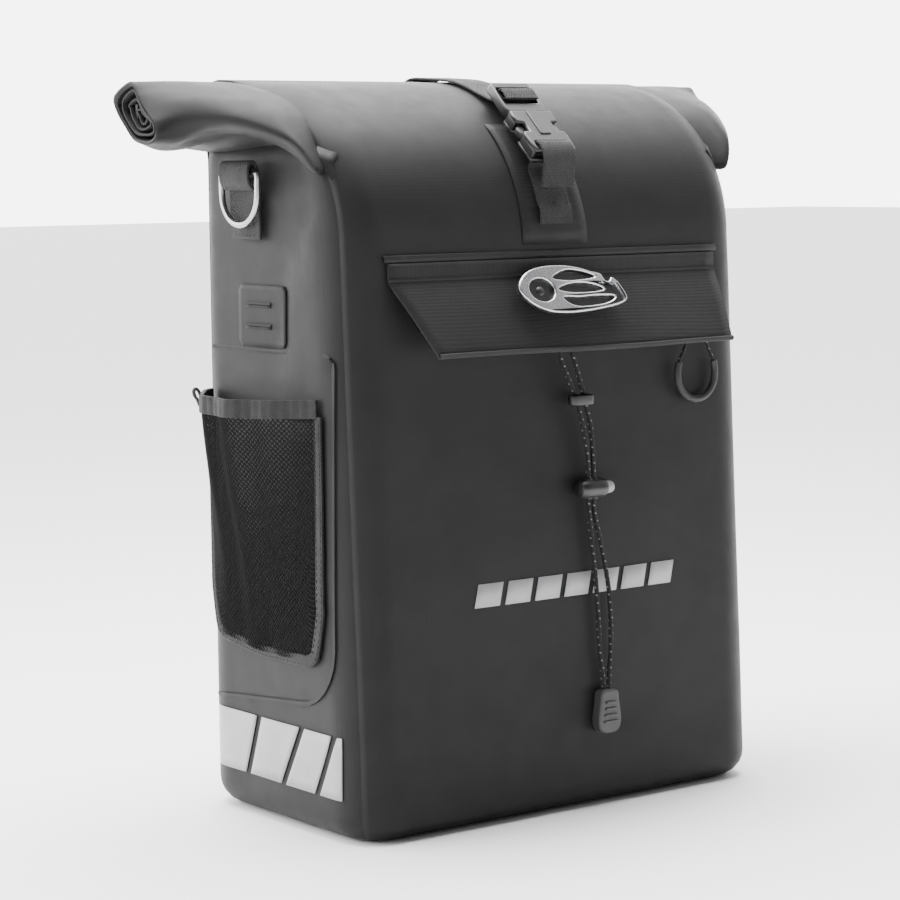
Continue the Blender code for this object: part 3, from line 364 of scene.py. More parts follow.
def metal(name, level, rough):
    look = Look(name, shade(level, 1.01), rough, 1.0)
    look.tint(look.noise(60, 3), shade(level * 0.86), shade(level * 1.08))
    look.rough(look.noise(900, 3, stretch=(1, 1, 14)), rough - 0.07, rough + 0.12)
    look.bump(look.noise(700, 2, stretch=(1, 1, 10)), 0.00012, 0.25)
    return look.mat


def film():
    """Retroreflective film: fine glass beads under a clear face."""
    look = Look("reflective_film", shade(0.30), 0.42)
    look.tint(look.noise(30, 4), shade(0.26), shade(0.34))
    beads = look.node("ShaderNodeTexVoronoi", Scale=1400.0)
    look.join(look.where("Object"), beads.inputs["Vector"])
    look.bump(beads.outputs["Distance"], 0.0002, 0.5)
    look.rough(look.noise(200, 3), 0.36, 0.52)
    return look.mat


def braid():
    """Braided cord sheath: dark strands crossing, with light flecks along it."""
    look = Look("cord_braid", shade(0.020), 0.7)
    look.set("Specular IOR Level", 0.3)
    one, two = look.wave(260, "UV", math.radians(38)), look.wave(260, "UV", math.radians(-38))
    crossing = look.math("MAXIMUM", one, two)
    fleck = look.math("MULTIPLY", look.wave(70, "UV", math.radians(30)),
                      look.wave(95, "UV", math.radians(-42)))
    look.tint(fleck, shade(0.008), shade(0.16), 0.72, 0.86)
    look.bump(crossing, 0.0005, 0.9)
    return look.mat


def netting():
    look = Look("pocket_net", shade(0.005), 0.8)
    look.set("Specular IOR Level", 0.15)
    look.tint(look.noise(300, 3), shade(0.004), shade(0.009))
    look.bump(look.noise(2500, 2), 0.0002, 0.6)
    return look.mat


def make_looks():
    return {
        "fabric": (coated("coated_fabric_dark", 0.010, 0.5), "coated_fabric"),
        "patch": (coated("coated_fabric_patch", 0.011, 1.6, 0.54), "coated_fabric"),
        "flap": (coated("coated_fabric_flap", 0.014, 2.2, 0.56), "coated_fabric"),
        "inner": (coated("coated_fabric_inner", 0.010, 1.0, 0.6), "coated_fabric"),
        "webbing": (webbing("webbing_black", 0.010), "webbing"),
        "trim": (webbing("binding_black", 0.006), "webbing"),
        "thread": (webbing("thread", 0.022), "webbing"),
        "net": (netting(), "mesh"),
        "plastic": (plastic("moulded_black", 0.010, 0.34), "plastic"),
        "matt_plastic": (plastic("moulded_matt", 0.013, 0.48), "plastic"),
        "steel": (metal("steel_polished", 0.42, 0.28), "steel"),
        "bright": (metal("silver_finish", 0.52, 0.26), "bright_plastic"),
        "pale": (plastic("pale_button", 0.22, 0.35), "bright_plastic"),
        "film": (film(), "reflective"),
        "rubber": (plastic("rubber_dark", 0.010, 0.60), "rubber"),
        "grip": (plastic("rubber_grey", 0.035, 0.50), "rubber"),
        "cord": (braid(), "cord"),
        "board": (plastic("board_black", 0.03, 0.6), "board"),
    }


LOOKS = make_looks()


# ---------------------------------------------------------------- making pieces
def settle(obj, look, body, nodes):
    """Gives a piece its material and the body it moves with, and hides the CAD nodes it stands for."""
    mat, slot = LOOKS[look]
    obj.data.materials.append(mat)
    if obj.name not in bpy.context.scene.collection.objects:
        bpy.context.scene.collection.objects.link(obj)
    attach(obj, body)
    if nodes:
        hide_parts(*nodes)
    return obj


def shape(name, points, faces, look, body="bag", nodes=(), uvs=None, sharp=40):
    mesh = bpy.data.meshes.new(name)
    mesh.from_pydata([tuple(p) for p in points], [], faces)
    if uvs:
        layer = mesh.uv_layers.new(name="UVMap")
        for loop in mesh.loops:
            layer.data[loop.index].uv = uvs[loop.vertex_index]
    bm = bmesh.new()
    bm.from_mesh(mesh)
    bmesh.ops.recalc_face_normals(bm, faces=bm.faces)
    bm.to_mesh(mesh)
    bm.free()
    mesh.shade_smooth()
    mesh.set_sharp_from_angle(angle=math.radians(sharp))
    return settle(bpy.data.objects.new(name, mesh), look, body, nodes)


def thicken(obj, thick):
    """Gives a sheet its thickness, inwards from its outer face."""
    mod = obj.modifiers.new("thick", "SOLIDIFY")
    mod.thickness = thick
    mod.offset = -1.0
    return obj


def soften(obj, width, segments=2, angle=30):
    mod = obj.modifiers.new("soft_edges", "BEVEL")
    mod.width = width
    mod.segments = segments
    mod.limit_method = "ANGLE"
    mod.angle_limit = math.radians(angle)
    mod.harden_normals = True
    return obj


def sheet(name, rows, look, outward, thick=0.0012, body="bag", nodes=(), closed=False, **more):
    """Fabric through rows of points; outward is a direction that its outer face looks to."""
    cols = len(rows[0])
    points = [p for row in rows for p in row]
    faces, uvs = [], []
    for i, row in enumerate(rows):
        run = 0.0
        for j, p in enumerate(row):
            run += (Vector(p) - Vector(row[j - 1])).length if j else 0
            uvs.append((run, i * 0.004))
    for i in range(len(rows) - 1):
        for j in range(cols if closed else cols - 1):
            k = (j + 1) % cols
            faces.append((i * cols + j, i * cols + k, (i + 1) * cols + k, (i + 1) * cols + j))
    obj = shape(name, points, faces, look, body, nodes, uvs, **more)
    middle = obj.data.polygons[len(faces) // 2]
    if callable(outward):
        outward = outward(middle.center)
    if middle.normal.dot(Vector(outward)) < 0:
        obj.data.flip_normals()
    return thicken(obj, thick) if thick else obj


def sweep(name, path, section, across, look, body="bag", nodes=(), closed=False, **more):
    """A section of (a, b) points carried along a path: a runs with across, b is square to a and the path."""
    path = [Vector(p) for p in path]
    n, m = len(path), len(section)
    edge = [0.0]
    for k in range(m):
        edge.append(edge[-1] + math.dist(section[k], section[(k + 1) % m]))
    points, uvs, run = [], [], 0.0
    for i, p in enumerate(path):
        ahead = path[(i + 1) % n] if closed or i + 1 < n else p
        behind = path[i - 1] if closed or i else p
        line = (ahead - behind).normalized()
        side = Vector(across(p) if callable(across) else across)
        side = (side - line * side.dot(line)).normalized()
        other = line.cross(side)
        run += (p - path[i - 1]).length if i else 0
        for k, (a, b) in enumerate(section):
            points.append(p + side * a + other * b)
            uvs.append((run, edge[k]))
    faces = []
    for i in range(n if closed else n - 1):
        for k in range(m):
            j, q = (i + 1) % n, (k + 1) % m
            faces.append((i * m + k, i * m + q, j * m + q, j * m + k))
    if not closed:
        faces.append(tuple(range(m))[::-1])
        faces.append(tuple((n - 1) * m + k for k in range(m)))
    return shape(name, points, faces, look, body, nodes, uvs, **more)


def ring_section(radius, sides=10, flat=1.0, centre=(0.0, 0.0)):
    return [(centre[0] + radius * math.cos(math.tau * k / sides),
             centre[1] + radius * flat * math.sin(math.tau * k / sides)) for k in range(sides)]


def strap_section(width, thick):
    """A strap's section with softened edges, thickness standing to one side of the path."""
    w, r = width / 2, thick * 0.35
    return [(-w + r, 0), (w - r, 0), (w, r), (w, thick - r), (w - r, thick), (-w + r, thick), (-w, thick - r),
            (-w, r)]


def slab(name, outlines, low, high, bevel, look, matrix, body="bag", nodes=(), steps=2):
    """A flat moulding with rounded edges: an outer outline and holes, from low to high along its own Z."""
    curve = bpy.data.curves.new(name, "CURVE")
    curve.dimensions = "2D"
    curve.fill_mode = "BOTH"
    curve.extrude = (high - low) / 2 - bevel
    curve.bevel_depth = bevel
    curve.bevel_resolution = steps
    curve.offset = -bevel
    for line in outlines:
        made = curve.splines.new("POLY")
        made.points.add(len(line) - 1)
        for q, p in zip(made.points, line):
            q.co = (p[0], p[1], 0, 1)
        made.use_cyclic_u = True
    obj = bpy.data.objects.new(name, curve)
    bpy.context.scene.collection.objects.link(obj)
    obj.matrix_world = matrix @ Matrix.Translation((0, 0, (low + high) / 2))
    return settle(obj, look, body, nodes)


def loop2d(points, steps=6):
    """A smooth closed outline through (x, y) points."""
    return [(p.x, p.y) for p in spline([(a, b, 0) for a, b in points], steps, closed=True)]


def rounded(low, high, radius, steps=4):
    (a0, b0), (a1, b1) = low, high
    radius = min(radius, (a1 - a0) / 2 - 1e-5, (b1 - b0) / 2 - 1e-5)
    corners = ((a1 - radius, b0 + radius, -90), (a1 - radius, b1 - radius, 0),
               (a0 + radius, b1 - radius, 90), (a0 + radius, b0 + radius, 180))
    points = []
    for ca, cb, start in corners:
        for k in range(steps + 1):
            t = math.radians(start + 90 * k / steps)
            points.append((ca + radius * math.cos(t), cb + radius * math.sin(t)))
    return points


def frame_at(place, x_axis, y_axis):
    """A matrix at a place with its X and Y along the given directions."""
    x_axis, y_axis = Vector(x_axis).normalized(), Vector(y_axis).normalized()
    made = Matrix((x_axis, y_axis, x_axis.cross(y_axis))).transposed().to_4x4()
    made.translation = Vector(place)
    return made


def turned(name, profile, place, axis, look, body, nodes=(), steps=28):
    """A turned moulding from (radius, along) points."""
    axis = Vector(axis).normalized()
    side = axis.orthogonal().normalized() if abs(axis.z) > 0.9 else Vector((0, 0, 1)).cross(axis).normalized()
    other = axis.cross(side)
    points, faces, m = [], [], len(profile)
    for k in range(steps):
        t = math.tau * k / steps
        for r, h in profile:
            points.append(Vector(place) + axis * h + (side * math.cos(t) + other * math.sin(t)) * r)
    for k in range(steps):
        a, b = k * m, (k + 1) % steps * m
        for i in range(m - 1):
            faces.append((a + i, a + i + 1, b + i + 1, b + i))
    faces.append(tuple(k * m for k in range(steps)))
    faces.append(tuple(k * m + m - 1 for k in range(steps))[::-1])
    return shape(name, points, faces, look, body, nodes, sharp=32)


STITCH, STITCH_GAP, STITCH_STEP = mm(2.7, 1.4, 0.5)


def stitches(name, lines, normal, radius=0.00042):
    """Rows of short raised stitches along lines of points."""
    points, faces = [], []
    per, stride = round(STITCH / STITCH_STEP), round((STITCH + STITCH_GAP) / STITCH_STEP)
    for line in lines:
        line = even(line, STITCH_STEP)
        for start in range(2, len(line) - per, stride):
            a, b = line[start], line[start + per]
            run = (b - a).normalized()
            up = Vector(normal(a) if callable(normal) else normal)
            side = run.cross(up).normalized()
            base = len(points)
            for t, r in ((0.0, 0.35), (0.2, 1.0), (0.8, 1.0), (1.0, 0.35)):
                mid = a.lerp(b, t)
                for k in range(6):
                    w = math.tau * k / 6
                    points.append(mid + (side * math.cos(w) + up * math.sin(w)) * radius * r)
            for s in range(3):
                for k in range(6):
                    q = (k + 1) % 6
                    row, above = base + s * 6, base + s * 6 + 6
                    faces.append((row + k, row + q, above + q, above + k))
            faces.append(tuple(base + k for k in range(6))[::-1])
            faces.append(tuple(base + 18 + k for k in range(6)))
    return shape(name, points, faces, "thread", sharp=60)


# ---------------------------------------------------------------- the fabric body
CORNER_STEPS = 6


def front_columns():
    """(side, corner angle, share of the flat width) of each column, from the left seam to the right one."""
    turns = [SEAM_TURN * (CORNER_STEPS - k) / CORNER_STEPS for k in range(CORNER_STEPS)]
    flat = [(0, 0.0, -1 + 2 * k / 24) for k in range(25)]
    return [(-1, t, -1) for t in turns] + flat + [(1, t, 1) for t in reversed(turns)]


def front_point(column, row):
    side, turn, share = column
    kind, value = row
    r, flat = CORNER, HALF - CORNER
    if kind == "wall":
        z, inset = value
        x = flat * share + side * (r - inset) * math.sin(turn)
        y = front_y(z) + r - (r - inset) * math.cos(turn)
        swell = front_swell(z) * math.cos(share * math.pi / 2)
        return Vector((x, y - swell - 0.0005 * ripple(x, y, z, 16), z))
    if kind == "roof":
        keep = max(0.0, math.cos(value)) ** 0.5
        wide = lerp(flat + r * turn / SEAM_TURN, flat + r * math.sin(turn), keep) if side else flat
        drop = r * (1 - math.cos(turn)) * keep
        y, z = roof(value, -drop)
        x = side * wide if side else wide * share
        dent = 0.0009 * ripple(x, y, z, 14, 3.0) * smooth(value / 0.3)
        return Vector((x, y, z - dent))
    y, z = value
    wide = flat + r * turn / SEAM_TURN if side else flat
    return Vector((side * wide if side else wide * share, y, z))


def body_rows(top_rows):
    wraps = [("wall", level) for level in FOOT_LEVELS]
    walls = [("wall", (BASE_ROUND + (SHOULDER - BASE_ROUND) * k / 26, 0.0)) for k in range(27)]
    return wraps + walls + top_rows


def front_fabric():
    over = [("roof", math.radians(90 * k / 26)) for k in range(1, 27)]
    roll = [("roll", spot) for spot in mm_pairs((38, 450.2), (47, 450.6), (55, 449.4), (61, 445.5), (64, 440),
                                                (63, 434), (59, 430), (55, 429))]
    rows = [[front_point(c, row) for c in front_columns()] for row in body_rows(over + roll)]
    sheet("front_fabric", rows, "fabric", (0, -1, 0), 0.0012, nodes=("front_panel", "roof_panel"))


# (height, y) of the soft crease down the side wall
CREASE = mm_pairs((262, -24), (290, -25), (330, -29), (352, -42), (372, -60), (400, -70))


def wall_push(y, z):
    """How far the side wall sinks in: behind the soft crease near the front, and a little under the wing."""
    line = along(CREASE, z)
    behind = smooth((y - line + 0.002) / 0.016) * smooth((z - 0.245) / 0.05)
    ends = smooth((y - face_y(z) - 0.010) / 0.022) * smooth((BACK - 0.008 - y) / 0.022)
    under = smooth((z - 0.375) / 0.03) * 0.0030
    return ends * (0.0022 * behind + under + 0.0006 * (1 + ripple(0, y, z, 20, 5.0)))


def side_x(y, z):
    """Half width of the bag's side wall at (y, z)."""
    r = CORNER
    reach = 0.0
    for gap in (y - (face_y(z) + r), (BACK - r) - y):
        if gap < 0:
            reach = min(-gap, r * 0.9999)
    width = HALF - r + math.sqrt(max(0.0, r**2 - reach**2)) if reach else HALF
    return width - wall_push(y, z)


# (y, height) of the side wall's upper edge
WALL_TOP = mm_pairs((-80, 398), (-60, 399), (-45, 404), (-30, 409), (0, 410.5), (30, 409), (60, 407),
                    (90, 404))
WALL_TALL = 0.046


def side_fabric(side, sign):
    r = CORNER
    rows = []
    fronts = [math.radians(40 + 50 * k / 6) for k in range(7)]
    rears = [math.radians(90 - 42 * k / 6) for k in range(7)]
    levels = FOOT_LEVELS + [(lerp(BASE_ROUND, SHOULDER, k / 26), 0.0) for k in range(27)]
    levels += [(SHOULDER + WALL_TALL * k / 9, 0.0) for k in range(1, 10)]
    for z, inset in levels:
        row = []
        y0, y1 = face_y(z) + r, BACK - r
        spots = [(y0 - (r - inset) * math.cos(t), math.sin(t)) for t in fronts]
        spots += [(lerp(y0, y1, k / 18), 1.0) for k in range(1, 18)]
        spots += [(y1 + (r - inset) * math.cos(t), math.sin(t)) for t in rears]
        for y, turn in spots:
            rise = max(0.0, z - SHOULDER) / WALL_TALL
            lift = min(z, SHOULDER) + rise * (along(WALL_TOP, y) - SHOULDER)
            x = HALF - r + (r - inset) * turn - wall_push(y, lift) - 0.0007
            row.append(Vector((sign * x, y, lift)))
        rows.append(row)
    rows.append([Vector((p.x - sign * 0.004, p.y, p.z + 0.006)) for p in rows[-1]])
    sheet(f"side_fabric_{side}", rows, "fabric", (sign, 0, 0), 0.0010, nodes=(f"side_panel_{side}",))


def back_fabric():
    flat, r = HALF - CORNER, CORNER
    columns = [(-1, SEAM_TURN * (CORNER_STEPS - k) / CORNER_STEPS, -1) for k in range(CORNER_STEPS)]
    columns += [(0, 0.0, -1 + k / 6) for k in range(13)]
    columns += [(1, SEAM_TURN * (k + 1) / CORNER_STEPS, 1) for k in range(CORNER_STEPS)]
    rows = []
    for _, (z, inset) in body_rows([]):
        curve = r - inset
        rows.append([Vector((flat * s + d * curve * math.sin(t), BACK - r + curve * math.cos(t), z))
                     for d, t, s in columns])
    rows.append([Vector((p.x, p.y, 0.390)) for p in rows[-1]])
    for y, z, keep in ((0.0825, 0.402, 1), (0.0800, 0.411, 0.8), (0.0740, 0.419, 0.5), (0.0670, 0.4255, 0.3),
                       (0.0600, 0.430, 0.1)):
        row = []
        for d, t, s in columns:
            x = flat * s + d * lerp(r * t / SEAM_TURN, r * math.sin(t), keep)
            row.append(Vector((x, y - r * (1 - math.cos(t)) * keep, z + 0.0006 * ripple(s, y, z, 6))))
        rows.append(row)
    sheet("back_fabric", rows, "fabric", (0, 1, 0), 0.0012, nodes=("back_panel",))


def base_fabric():
    low_y, high_y = front_y(0) + BASE_ROUND - 0.001, BACK - BASE_ROUND + 0.001
    half = HALF - BASE_ROUND + 0.001
    outline = rounded((-half, low_y), (half, high_y), CORNER - BASE_ROUND, 6)
    rows = []
    for share in (1.0, 0.9, 0.6, 0.3, 0.02):
        z = 0.0008 + 0.0006 * (1 - share)
        rows.append([Vector((x * share, y * share, z)) for x, y in outline])
    sheet("base_fabric", rows, "patch", (0, 0, -1), 0.0010, nodes=("bottom_panel",), closed=True)


# Closed outlines of the folded wing in millimetres, from the wall outwards: half width, then (y, z) points
WING = [
    (148.0, [(62, 440), (45, 447), (20, 445), (-10, 438), (-34, 424), (-50, 400),
             (-47, 396), (-34, 404), (-12, 411), (28, 409), (66, 408), (73, 424)]),
    (160.0, [(62, 441), (45, 449), (20, 446.5), (-10, 439), (-36, 424), (-58, 398),
             (-55, 393.5), (-38, 404), (-12, 411), (28, 409), (68, 408), (75, 424)]),
    (172.0, [(63, 441), (45, 449), (22, 446.5), (-6, 440), (-30, 430), (-48, 414),
             (-43, 411), (-20, 414), (5, 417), (34, 413), (66, 409), (73, 424)]),
    (190.0, [(64, 440), (45, 449), (26, 447), (8, 442), (-8, 436), (-22, 425),
             (-15, 420.5), (2, 419), (20, 416), (38, 409), (58, 412), (68, 425)]),
    (208.0, [(65, 440), (45, 449), (32, 445.5), (20, 440.5), (11, 435), (4, 427),
             (7, 420), (13, 415), (22, 411), (38, 408), (52, 416), (64, 427)]),
    (222.5, [(64, 441), (46, 449), (38, 443), (31, 436), (24, 430), (17, 424),
             (15, 417), (20, 412.5), (29, 411.5), (42, 414), (52, 422), (62, 432)]),
]


def wing_ring(share):
    """Closed outline at a share of the way along the wing, as (half width, points)."""
    spot = share * (len(WING) - 1)
    i = min(int(spot), len(WING) - 2)
    t = spot - i
    rings = [WING[max(0, min(len(WING) - 1, i + d))] for d in (-1, 0, 1, 2)]
    blend = (0.5 * (-t + 2 * t**2 - t**3), 0.5 * (2 - 5 * t**2 + 3 * t**3), 0.5 * (t + 4 * t**2 - 3 * t**3),
             0.5 * (-t**2 + t**3))
    width = sum(b * ring[0] for b, ring in zip(blend, rings))
    points = [tuple(sum(b * ring[1][k][a] for b, ring in zip(blend, rings)) for a in (0, 1))
              for k in range(len(WING[0][1]))]
    return width / 1000, mm_pairs(*loop2d(points, 4))


def wing(side, sign):
    rows = []
    for k in range(31):
        width, ring = wing_ring(k / 30)
        row = []
        for y, z in ring:
            soft = 0.0010 * ripple(width, y, z, 30, 2.0 * sign)
            row.append(Vector((sign * (width + 0.3 * soft), y + soft, z + 0.6 * soft)))
        rows.append(row)
    width, ring = wing_ring(1.0)
    mid_y, mid_z = (sum(p[a] for p in ring) / len(ring) for a in (0, 1))
    roll_radius = 0.016
    for inset, depth in mm_pairs((0.9, -0.6), (2.2, 0.4), (2.8, 4), (2.8, 30)):
        near = inset / roll_radius
        x = sign * (width - depth)
        rows.append([Vector((x, lerp(y, mid_y, near), lerp(z, mid_z, near))) for y, z in ring])
    sheet(f"roll_wing_{side}", rows, "fabric", lambda c: (0, c.y - 0.03, c.z - 0.425), 0,
          nodes=("roll_closure",), closed=True)
    roll_layers(side, sign, ring, width, (mid_y, mid_z))


def roll_layers(side, sign, ring, width, centre):
    """The rolled fabric seen at the end of the roll: nested layers with dark gaps between them."""
    mid_y, mid_z = centre
    for index, share in enumerate((0.74, 0.50, 0.26)):
        rows = []
        for depth in (0.0008 + 0.0012 * index, 0.006, 0.032):
            row = []
            for k, (y, z) in enumerate(ring):
                near = share + 0.05 * math.sin(k * 0.35 + index)
                row.append(Vector((sign * (width - depth), lerp(mid_y, y, near), lerp(mid_z, z, near))))
            rows.append(row)
        sheet(f"roll_layer_{side}_{index + 1}", rows, "inner", lambda c: (0, c.y - mid_y, c.z - mid_z),
              0.0014, closed=True)


def weld_line(name, points, look="fabric", width=0.0022, tall=0.0007, across=(1, 0, 0), body="bag"):
    """A thin raised weld along a line that lies on the fabric."""
    foot, brow = width / 2, width * 0.42
    section = [(-foot, -tall), (foot, -tall), (brow, tall * 0.6), (0, tall), (-brow, tall * 0.6)]
    sweep(name, points, section, across, look, body)


def wall_patch(name, y_span, z_span, out, look, sign, nodes=(), corner=0.0, thick=0.0008, edges=None,
               steps=(14, 12)):
    """A thin patch that follows the side wall; edges(share) may give its own limits in y up the patch."""
    rows = []
    for i in range(steps[1] + 1):
        v = i / steps[1]
        z = lerp(*z_span, v)
        y0, y1 = edges(v) if edges else y_span
        inset = 0.0
        if corner:
            near = min(v, 1 - v) * (z_span[1] - z_span[0])
            inset = corner - math.sqrt(max(0.0, corner**2 - max(0.0, corner - near) ** 2))
        row = []
        for j in range(steps[0] + 1):
            y = lerp(y0 + inset, y1 - inset, j / steps[0])
            row.append(Vector((sign * (side_x(y, z) + out), y, z)))
        rows.append(row)
    return sheet(name, rows, look, (sign, 0, 0), thick, nodes=nodes)


def body_fabric():
    front_fabric()
    back_fabric()
    base_fabric()
    for side, sign in SIDES.items():
        side_fabric(side, sign)
        wing(side, sign)


# ---------------------------------------------------------------- front: header, flap, hook, zip
HEADER_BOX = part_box("header_strip")
ZIP_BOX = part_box("zip_tape")
BAND_TALL = 0.0115
FLAP_FALL = 0.0440
HINGE_Z = HEADER_BOX[0].z - GAP
BEND_Z = HINGE_Z - BAND_TALL
FLAP_TILT = math.atan(0.0212 / FLAP_FALL)
FLAP_OUT = 0.0024


def header():
    """The welded band above the flap."""
    rows = []
    top, low = HEADER_BOX[1].z + 0.0006, HINGE_Z + 0.0003
    for z, out in ((low, 0.0021), (lerp(low, top, 0.5), 0.0024), (top - 0.0006, 0.0020), (top, 0.0009)):
        rows.append([Vector((x / 1000, front_y(z) - out, z)) for x in range(-129, 132, 13)])
    sheet("header_band", rows, "flap", (0, -1, 0), 0.0008, nodes=("header_strip",))


def flap():
    """The flap's sheet: flat band, fold, then a slightly bowed fall with a turned hem."""
    rows = []
    hinge_y = front_y(HINGE_Z) - FLAP_OUT
    line = mm_pairs((0, 0), (-0.3, -3), (-0.2, -8), (-0.6, -10.8))
    for f in (k / 9 for k in range(1, 10)):
        out = 0.0006 + 0.0206 * f**0.92 + 0.0008 * math.sin(math.pi * f)
        line.append((-out, -BAND_TALL - FLAP_FALL * f))
    for dy, dz in line:
        fall = max(0.0, (-dz - BAND_TALL) / FLAP_FALL)
        left, right = -0.1270 + 0.0215 * fall, 0.1285 - 0.0020 * fall
        row = []
        for k in range(33):
            x = lerp(left, right, k / 32)
            wave = 0.0012 * fall * (math.sin(x * 34 + 0.6) + 0.6 * ripple(x, 0, fall * 0.1, 22, 8.0))
            row.append(Vector((x, hinge_y + dy - wave * 0.8, HINGE_Z + dz - GAP - 0.3 * wave)))
        rows.append(row)
    sheet("flap_fabric", rows, "flap", (0, -1, 0), 0.0013, "flap", ("rain_flap",))
    hem = [p + Vector((0, -0.0004, 0.0012)) for p in rows[-1]]
    weld_line("flap_hem", hem, "flap", 0.0030, 0.0008, (0, -0.3, 1), "flap")
    fold = [Vector((x / 1000, hinge_y - 0.0008, BEND_Z + 0.0012)) for x in range(-127, 130, 8)]
    weld_line("flap_fold", fold, "flap", 0.0016, 0.0005, (0, 0, 1), "flap")


HOOK_FRAME = frame_at((0, front_y(HINGE_Z) - FLAP_OUT - LEAN * BAND_TALL, BEND_Z), (1, 0, 0),
                      (0, math.sin(FLAP_TILT), math.cos(FLAP_TILT)))


def helmet_hook():
    """A bright fish-shaped plate with dark windows over a dark dished base."""
    mid = -0.0133
    plate = [(-41, 1), (-38, 8), (-30, 13.5), (-18, 16), (-4, 16.2), (8, 14.5), (19, 11.2), (25, 9.4),
             (27, 5.2), (30, 4.6), (33, 7.0), (37, 3.4), (40.2, -4), (40, -8), (35, -10.5), (24, -12.6),
             (8, -14.4), (-8, -15), (-22, -13.6), (-34, -8)]
    slots = [
        [(-13, 8.2), (-2, 12.8), (10, 11.8), (20, 8.2), (12, 6.6), (-2, 6.2)],
        [(-11, 0.8), (0, 4.0), (14, 3.4), (24, -0.6), (12, -2.0), (-2, -1.6)],
        [(-9, -5.0), (4, -5.2), (18, -4.8), (31, -5.8), (22, -9.8), (0, -10.8)],
    ]
    eye = ring_section(9.6, 20, 7.6 / 9.6, (-24, 0.6))
    outer, *holes = [[(x, y + mid) for x, y in mm_pairs(*line)]
                     for line in [loop2d(plate, 5), eye] + [loop2d(slot, 5) for slot in slots]]
    slab("helmet_hook_plate", [outer] + holes, 0.0069, 0.0104, 0.0011, "bright", HOOK_FRAME, "flap",
         ("helmet_hook",), 3)
    inner = [(x * 0.90 - 0.0002, (y - mid) * 0.82 + mid) for x, y in outer]
    slab("helmet_hook_core", [inner], 0.0048, 0.0078, 0.0010, "plastic", HOOK_FRAME, "flap")
    base = ring_section(0.0285, 40, 100 / 285, (0.0, mid - 0.001))
    slab("helmet_hook_base", [base], 0.0004, 0.0056, 0.0018, "matt_plastic", HOOK_FRAME, "flap",
         ("hook_base",), 3)
    rivet = mm_pairs((0, 0), (3, 0), (3, 1), (2, 1.8), (0.4, 2))
    turned("helmet_hook_rivet", rivet, HOOK_FRAME @ Vector((-0.0240, mid + 0.0006, 0.0070)),
           HOOK_FRAME.to_3x3() @ Vector((0, 0, 1)), "plastic", "flap")


def front_zip():
    mid_z = (ZIP_BOX[0].z + ZIP_BOX[1].z) / 2
    half = min(ZIP_BOX[1].x, 0.104)
    band = mm_pairs((-6.5, 0.8), (-3, 1.3), (0, 1.3), (3, 1.3), (6.5, 0.8))
    rows = [[Vector((half * (k / 20 - 1), front_y(mid_z + up) - out, mid_z + up)) for k in range(41)]
            for up, out in band]
    sheet("zip_band", rows, "trim", (0, -1, 0), 0.0006, nodes=("zip_tape",))
    points, faces = [], []
    pitch, margin = 0.0020, 0.006
    wide, deep, tall = mm(0.85, 0.8, 2.1)
    for k in range(int(2 * (half - margin) / pitch)):
        x, y = k * pitch + margin - half, front_y(mid_z) - 0.0018
        z = mid_z + (0.0012 if k % 2 else -0.0012)
        base = len(points)
        for dx, dy, dz in itertools.product((-1, 1), repeat=3):
            points.append((x + dx * wide, y + dy * deep, z + dz * tall * (1 - 0.15 * dy)))
        faces += [tuple(base + q for q in f) for f in
                  ((0, 1, 3, 2), (4, 6, 7, 5), (0, 4, 5, 1), (2, 3, 7, 6), (0, 2, 6, 4), (1, 5, 7, 3))]
    soften(shape("zip_teeth", points, faces, "plastic"), 0.0003, 1)


def zip_pull():
    """Cord legs from the slider into a thick tube bent round the foot."""
    mid = middle("zip_pull")
    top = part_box("zip_pull")[1].z - 0.0012
    half, foot = 0.0158, top - 0.0420
    legs = [(a, top - drop) for a, drop in mm_pairs((0, 0), (3, 0.6), (4.6, 3), (5.8, 13), (9.8, 25))]
    bend = [(half * 0.93, foot + 0.0080), (half, foot + 0.002)]
    bend += arc_points((0, foot), (half, -half), range(15, 91, 15))

    def placed(line):
        return [Vector((mid.x + a, mid.y, z)) for a, z in line]

    loop = spline(placed(legs + bend + [(-a, z) for a, z in reversed((legs + bend)[1:-1])]), 4, closed=True)
    sweep("zip_pull_cord", loop, ring_section(0.0011, 10), (0, 1, 0), "cord", "zip_puller", ("zip_pull",),
          closed=True)
    tube = spline(placed(mirrored(bend, True)), 4)
    sweep("zip_pull_tube", tube, ring_section(0.0023, 12), (0, 1, 0), "rubber", "zip_puller")


def front_badge():
    """Plain reflective bar in place of the printed name: slanted blocks with no letters."""
    low, high = 0.1335, 0.1475
    for k in range(7):
        x0 = -0.073 + k * 0.0229
        rows = []
        for v in (0.0, 0.5, 1.0):
            z = lerp(low, high, v)
            row = []
            for u in range(5):
                x = x0 + u / 4 * 0.0188 + 0.0035 * v
                bow = front_swell(z) * math.cos(max(-1, min(1, x / (HALF - CORNER))) * math.pi / 2)
                row.append(Vector((x, front_y(z) - bow - 0.0009, z)))
            rows.append(row)
        sheet(f"reflective_dash_{k + 1}", rows, "film", (0, -1, 0), 0.0004)


# ---------------------------------------------------------------- elastic cord
CORD_TOP = 0.2905
TAB_Z = CORD_TOP - 0.2305
